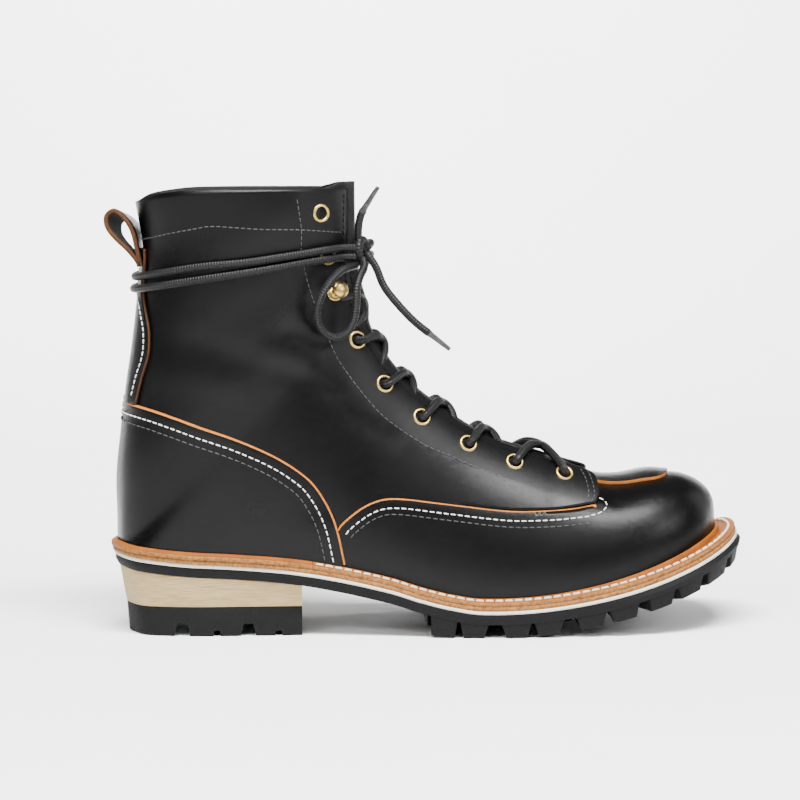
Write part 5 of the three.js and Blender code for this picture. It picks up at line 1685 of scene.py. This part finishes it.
def heel_block(name, profile, material, node, corners=()):
    """A heel layer from the straight breast round the back: a profile of (edge, height) from
    its bottom to its top."""
    patch = Patchwork()
    spans = {}
    for side in (OUTER, INNER):
        starts = [share_at(side, HEEL_BREAST, edge) for edge, _ in profile]
        marks = share_at(side, np.asarray(corners), profile[0][0]) if len(corners) else []
        t = (np.asarray(marks) - starts[0]) / (1 - starts[0])
        t = np.unique(np.concatenate([np.linspace(0, 1, 170), t]))
        spans[side] = np.stack([start + (1 - start) * t for start in starts], axis=1)
    sole_band(patch, profile, [0] * (len(profile) - 1), spans, closed=False)
    low, high = profile[0], profile[-1]
    sole_cap(patch, low[0], low[1], 0, {s: spans[s][:, 0] for s in spans}, False, 3)
    sole_cap(patch, high[0], high[1], 0, {s: spans[s][:, -1] for s in spans}, True, 3)
    ends = [[edge_points(side, spans[side][:1, k], edge, height)[0]
             for k, (edge, height) in enumerate(profile)] for side in (OUTER, INNER)]
    across = np.linspace(0, 1, 3)[None, :, None]
    face = np.array(ends[0])[:, None] * (1 - across) + np.array(ends[1])[:, None] * across
    patch.add(face, 0, False)
    piece = patch.piece(name, [material], sharp=32)
    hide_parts(node)


def make_heel():
    """The stacked heel and its rubber top piece with side notches."""
    heel_block("heel_stack_dressed", [
        (heel_edge(0.78), TOP_PIECE_HEIGHT + 0.1), (heel_edge(0.74), TOP_PIECE_HEIGHT + 0.45),
        (heel_edge(0.1), raised(rubber_base, -0.4)), (heel_edge(0.14), raised(rubber_base, -0.1)),
    ], stacked_leather, "heel_stack")
    tread, corners = gap_line(HEEL_NOTCHES, lambda x: 0 * x, None, deep=TOP_PIECE_HEIGHT)
    heel_block("heel_top_piece_dressed", [
        (tuple(v + 0.4 for v in heel_edge(1.0)), tread), (heel_edge(0.98), raised(tread, 0.4)),
        (heel_edge(0.79), TOP_PIECE_HEIGHT - 0.35), (heel_edge(0.82), TOP_PIECE_HEIGHT),
    ], charcoal_rubber, "heel_top_piece", corners)


make_heel()


# Eyelets, hooks and the laces through them
def lace_places():
    """Each lace place's side, number, centre on the facing and way out of it."""
    at, up = EYELETS["at"].copy(), EYELETS["up"].copy()
    at[HOOK_PLACE] -= 0.012
    row, turn = place_seen_at(lengthwise(at), up * HEIGHT)
    places = {}
    for side in (OUTER, INNER):
        point, normal = side_surface(row, side, turn, facing_rise(row))
        for k in range(len(row)):
            way = normal[k] + np.array([0.0, side * 0.35, 0.4 if k == HOOK_PLACE else 0.0])
            places[k, side] = {"row": row[k], "point": point[k],
                               "way": way / np.linalg.norm(way),
                               "hook": k == HOOK_PLACE}
    return places


PLACES = lace_places()


def lathe(patch, profile, place, segments=48, kind=0):
    """Turns (radius, height) points round a place's way out."""
    way = place["way"]
    across = np.cross(way, [0.0, 0.0, 1.0])
    across /= np.linalg.norm(across)
    other = np.cross(way, across)
    turn = np.linspace(0, 2 * np.pi, segments, endpoint=False)
    ring = across * np.cos(turn)[:, None] + other * np.sin(turn)[:, None]
    profile = np.array(profile)
    grid = place["point"] + way * profile[:, 1][:, None, None] \
        + ring[None] * np.maximum(profile[:, 0], 0.001)[:, None, None]
    patch.add(grid, kind, False, wrap_columns=True)


def make_fittings():
    """Rolled brass eyelets, each with a near-black disc across its hole as painted shade in the
    bore, and knob hooks with a domed head and a thick rim.
    """
    inside = -UPPER_WALL - GAP
    bend = np.linspace(0, np.pi, 11)
    roll = [(3.7 + 0.8 * np.cos(a), 0.3 + 1.0 * np.sin(a)) for a in bend]
    eyelet = [(3.2, inside), (3.2, 0.0), (4.3, 0.05)] + roll \
        + [(2.8, -0.2), (2.75, inside), (3.2, inside)]
    dome = [((KNOB_RADIUS + 0.2) * np.cos(a), 6.7 + 2.4 * np.sin(a))
            for a in np.linspace(-1.15, np.pi / 2, 26)]
    knob = [
        (0, inside), (NECK_RADIUS, inside), (NECK_RADIUS, 0.1), (3.9, 0.1), (4.0, 0.4),
        (3.7, 0.75), (3.0, 0.9), (NECK_RADIUS + 0.3, 0.95), (NECK_RADIUS, 1.4),
        (NECK_RADIUS, 4.2), *dome,
    ]
    for (number, side), place in PLACES.items():
        patch = Patchwork()
        lathe(patch, knob if place["hook"] else eyelet, place)
        if not place["hook"]:
            # A near-black disc across the hole: painted shade inside the eyelet's bore.
            lathe(patch, [(3.1, 0.12), (1.6, 0.1), (0.8, 0.1), (0, 0.1)], place, kind=1)
        name = ("hook_" if place["hook"] else "eyelet_") \
            + ("outer_" if side < 0 else "inner_") + str(number + 1)
        piece = patch.piece(name + "_dressed", [brass, bore_shade_disc], weld=0.002)
        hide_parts(name)


make_fittings()


def over_throat(start, end, share, across, lift):
    """A point over the throat: between two lace places along the ridge, across from the middle
    and lifted off the facings' level."""
    row = np.asarray(start["row"] + (end["row"] - start["row"]) * share)
    side = INNER if across > 0 else OUTER
    turns = np.linspace(BELLY_TURN, 0.995, 120)
    reach = np.abs(side_surface(row, side, turns)[0][:, 1])
    turn = float(np.interp(abs(across), reach[::-1], turns[::-1]))
    point = side_surface(row, side, turn, lift + float(facing_rise(row)))[0]
    point[1] = across
    return point


# The facing's edge from the middle, and a lace's middle when it lies on leather
THROAT_EDGE = THROAT_WIDTH / 2
CLEAR = LACE / 2 + 0.2


def strand_path(number, side):
    """Out through an eyelet, or round a hook's neck, up over the facing's edge into the throat
    and down beside the other facing's next lower eyelet. The lowest strand lies on top."""
    upper, lower = PLACES[number, side], PLACES[number + 1, -side]
    toward = lower["point"] - upper["point"]
    toward /= np.linalg.norm(toward)
    way = upper["way"]
    if upper["hook"]:
        off = NECK_RADIUS + LACE / 2 + 0.2
        across = np.cross(way, toward)
        lift = LACE / 2 + 1.5
        points = [upper["point"] + way * lift - toward * off * 0.2 + across * off * 0.98,
                  upper["point"] + way * lift + toward * off * 0.75 + across * off * 0.75,
                  upper["point"] + way * lift + toward * (off + 2)]
    else:
        points = [upper["point"] - way * 3, upper["point"] + way * 0.6,
                  upper["point"] + way * 2.9 + toward * 1.5]
    crest = 2.0 if upper["hook"] else 0.9
    if number == 7:
        points += [
            over_throat(upper, lower, 0.3, side * (THROAT_EDGE + 1), CLEAR + crest),
            over_throat(upper, lower, 0.5, side * THROAT_EDGE * 0.45, CLEAR + 0.7),
            over_throat(upper, lower, 0.75, -side * (THROAT_EDGE + 1), CLEAR + 0.8),
            lower["point"] + lower["way"] * 2.9 - toward * 1.5,
            lower["point"] + lower["way"] * 0.6, lower["point"] - lower["way"] * 3,
        ]
    else:
        points += [
            over_throat(upper, lower, 0.26, side * THROAT_EDGE, CLEAR + crest * 0.4),
            over_throat(upper, lower, 0.36, side * THROAT_EDGE * 0.55, CLEAR * 0.35),
            over_throat(upper, lower, 0.5, side * THROAT_EDGE * 0.1, 0.7),
            over_throat(upper, lower, 0.66, -side * THROAT_EDGE * 0.5, -0.4),
            over_throat(upper, lower, 0.8, -side * (THROAT_EDGE + 3), -3.4),
        ]
    return rounded_path(points, 1.0)


def make_crossings():
    """The six lace crossings, each of two strands."""
    for number in range(2, 8):
        patch = Patchwork()
        for side in (OUTER, INNER):
            tube(patch, strand_path(number, side), LACE / 2 + 0.15, turns_per_mm=1 / LACE)
        piece = patch.piece(f"lace_crossing_{8 - number}_dressed", [waxed_lace])
        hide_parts(f"lace_crossing_{8 - number}")


make_crossings()


# Stitches
def stitch_shape(sides=6):
    """A short rounded thread along x, half a stitch long each way: rings (x, radius)."""
    rings = np.array([(-1, 0.02), (-0.93, 0.55), (-0.72, 0.95), (0.72, 0.95), (0.93, 0.55),
                      (1, 0.02)])
    turn = np.linspace(0, 2 * np.pi, sides, endpoint=False)
    round_way = np.stack([np.cos(turn), np.sin(turn)], axis=1)
    return rings, round_way


def add_stitches(patch, points, normals, pitch, length, radius, sink=0.25):
    """Stitches in a row along a line on a surface, a pitch apart, lying along its way."""
    run = run_along(points)
    count = max(1, int(run[-1] / pitch))
    at = (np.arange(count) + 0.5) * run[-1] / count
    half = length / 2

    def on(values, where):
        """Values along the line at given lengths."""
        return np.stack([np.interp(where, run, values[:, k]) for k in range(3)], axis=1)

    middle, normal = on(points, at), on(normals, at)
    way = unit(on(points, at + half * 0.6) - on(points, at - half * 0.6))
    normal = unit(normal - way * np.sum(normal * way, axis=1, keepdims=True))
    other = np.cross(normal, way)
    rings, around = stitch_shape()
    centre = middle[:, None] + way[:, None] * rings[None, :, :1] * half \
        + normal[:, None] * (radius * (1 - sink) - radius * 0.9 * rings[None, :, :1] ** 4)
    ring = other[:, None, None] * around[None, None, :, :1] \
        + normal[:, None, None] * around[None, None, :, 1:]
    grid = centre[:, :, None] + ring * radius * rings[None, :, None, 1:]
    for stitch in grid:
        patch.add(stitch, 0, True, wrap_columns=True)


def sewn_line(patch, line, shift, offset, sides=(OUTER, INNER), pitch=3.3, length=2.5,
              radius=0.34, keep=None, over=None):
    """Stitches beside a drawn line on both sides, only where keep says, raised by over."""
    for side in sides:
        _, _, points, normals = side_line(line, side, 260, shift, offset)
        if over is not None:
            points = points + normals * over(points)[:, None]
        if keep is not None:
            inside = keep(points)
            points, normals = points[inside], normals[inside]
        add_stitches(patch, points, normals, pitch, length, radius)


def above_welt(points):
    """The points that aren't hidden by the storm rib."""
    return points[:, 2] > storm(points[:, 0]) + 0.5


def behind_curl(points):
    """Those of them behind the curl at the facing's corner."""
    return above_welt(points) & (points[:, 0] < CURL_BACK)


# Where the wing's seams end in front, and where the facing's edge seam ends at the collar
CURL_BACK = 230
EDGE_STITCH_TOP = 211


def make_stitches():
    """White and tonal seams, the facing edge's dark seam, the curl and the welt's stitches."""
    face = OVERLAY_FACE
    white, grey, dark = Patchwork(), Patchwork(), Patchwork()
    sewn_line(white, COUNTER_EDGE, 5.4, face, keep=above_welt, over=counter_over)
    sewn_line(grey, COUNTER_EDGE, 9.3, face, keep=above_welt, radius=0.3, over=counter_over)
    sewn_line(white, WING_EDGE, 4.8, face, keep=behind_curl)
    sewn_line(grey, WING_EDGE, 7.7, face, keep=behind_curl, radius=0.3)
    sewn_line(grey, FACING_STITCH, 0.0, 0.0, radius=0.28, pitch=2.9, length=2.2)
    sewn_line(grey, COLLAR_STITCH, 0.0, 0.0, radius=0.28, pitch=2.9, length=2.2)
    for side in (OUTER, INNER):
        for inset in (2.6, 5.4):
            x, z = drawn(FACING_FRONT, 60)
            row, turn = place_seen_at(x - inset, z)
            points, normals = side_surface(row, side, turn, facing_rise(row))
            inside = turn < throat_turn(np.maximum(row, 7.9), side) - 0.06
            add_stitches(grey, points[inside], normals[inside], 2.9, 2.2, 0.28)
    sewn_line(white, BACKSTAY_EDGE, -2.2, GAP + BACKSTAY, pitch=2.9, length=2.2)
    for side in (OUTER, INNER):
        row = np.linspace(7.5, 25.2, 400)
        points, normals = side_surface(row, side, throat_turn(row, side) - 0.05,
                                       facing_rise(row) - 0.05)
        low = points[:, 2] < EDGE_STITCH_TOP
        points, normals = points[low], normals[low]
        add_stitches(dark, points, normals, 2.9, 2.2, 0.3)
    curl = np.array([(229.5, 55.6), (233.5, 56.3), (236.6, 57.8), (238.2, 59.6), (237.2, 61.6),
                     (234.2, 63.0)])
    path = rounded_path(np.column_stack([curl, 0 * curl[:, 0]]), 0.5)
    for side in (OUTER, INNER):
        row, turn = place_seen_at(path[:, 0], path[:, 1])
        points, normals = side_surface(row, side, turn, face)
        add_stitches(white, points, normals, 3.0, 2.3, 0.34)
    for patch, name, thread in ((white, "white_stitches", white_thread),
                                (grey, "tonal_stitches", grey_thread),
                                (dark, "facing_edge_stitches", dark_thread)):
        piece = patch.piece(name, [thread], weld=0.001)

    welt = Patchwork()
    for side in (OUTER, INNER):
        u = np.linspace(0, share_at(side, RAND_JOINT + 1, WELT_EDGE), 300)
        reach = by_place(edge_points(side, u, 0.0, 0.0)[:, 0], 2.4, 2.4, 3.0)
        edge = edge_points(side, u, WELT_EDGE, welt_top)
        _, ways = FEATHER[side]
        at = np.linspace(0, 1, len(ways))
        out = np.stack([np.interp(u, at, ways[:, k]) for k in range(2)] + [0 * u], axis=1)
        points = edge - out * reach[:, None]
        points[:, 2] = welt_top(points[:, 0])
        add_stitches(welt, points, np.tile([0.0, 0.0, 1.0], (len(u), 1)), 4.6, 4.0, 0.75)
    piece = welt.piece("welt_stitches", [welt_thread], weld=0.001)


make_stitches()


def make_insole():
    """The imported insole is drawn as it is, in its leather."""
    insole = bpy.data.objects["insole"]
    insole.data.materials.clear()
    insole.data.materials.append(insole_leather)


make_insole()


# Stage and light
def make_stage():
    """A pale floor that narrows behind the boot and bends up softly into a low wall."""
    bend, back, height = 0.4, 0.8, 0.46
    y = [-2.6] + list(np.linspace(-2.0, back, 12))
    z = [0.0] * 13
    for a in np.linspace(0, np.pi / 2, 16)[1:]:
        y.append(back + bend * np.sin(a))
        z.append(bend * (1 - np.cos(a)))
    y.append(back + bend)
    z.append(height)
    x = np.linspace(-3.0, 3.0, 5)
    y, z = np.array(y), np.array(z)
    narrow = 1 - 0.72 * smooth(y, 0.3, back)
    grid = np.stack([np.stack([narrow * v, y, z], axis=1) for v in x])
    mesh = bpy.data.meshes.new("studio_floor")
    mesh.from_pydata(grid.reshape(-1, 3), [], grid_faces(len(x), len(y)).tolist())
    mesh.materials.append(floor_white)
    mesh.polygons.foreach_set("use_smooth", np.ones(len(mesh.polygons), dtype=bool))
    floor = bpy.data.objects.new("studio_floor", mesh)
    bpy.context.scene.collection.objects.link(floor)


def area_light(name, place, target, size, power):
    """A white rectangular lamp at a place, turned to a target."""
    data = bpy.data.lights.new(name, "AREA")
    data.shape = "RECTANGLE"
    data.size, data.size_y = size
    data.energy = power
    light = bpy.data.objects.new(name, data)
    bpy.context.scene.collection.objects.link(light)
    z_way = np.array(place, dtype=float) - np.array(target, dtype=float)
    z_way /= np.linalg.norm(z_way)
    x_way = np.cross([0.0, 0.0, 1.0], z_way)
    if np.linalg.norm(x_way) < 1e-3:
        x_way = np.array([1.0, 0.0, 0.0])
    x_way /= np.linalg.norm(x_way)
    axes = np.eye(4)
    axes[:3, 0], axes[:3, 1], axes[:3, 2] = x_way, np.cross(z_way, x_way), z_way
    axes[:3, 3] = place
    light.matrix_world = Matrix(axes.tolist())


def make_lights():
    """A dim white surround and lamps above, in front, at the wall and at the sides."""
    world = bpy.data.worlds.new("white_surround")
    world.use_nodes = True
    background = world.node_tree.nodes["Background"]
    background.inputs["Color"].default_value = (1.0, 1.0, 1.0, 1.0)
    background.inputs["Strength"].default_value = 0.16
    bpy.context.scene.world = world
    area_light("overhead", (0.0, -0.75, 1.65), (0.0, 0.0, 0.0), (1.3, 0.45), 145.0)
    area_light("front", (-0.2, -1.8, 1.2), (0.0, 0.0, 0.1), (1.4, 0.35), 9.0)
    area_light("backdrop", (0.0, 0.45, 0.8), (0.0, 1.3, 0.3), (0.9, 0.3), 22.0)
    area_light("left_front", (-1.0, -1.3, 1.1), (-0.05, 0.0, 0.12), (0.4, 0.6), 13.0)
    area_light("right_front", (1.2, -1.0, 0.9), (0.05, 0.0, 0.12), (0.4, 0.6), 15.0)
    area_light("left_back", (-1.0, 0.55, 0.6), (-0.1, 0.0, 0.12), (0.2, 0.9), 0.8)
    area_light("right_back", (1.1, 0.5, 0.5), (0.1, 0.0, 0.06), (0.2, 0.8), 2.0)


make_stage()
make_lights()
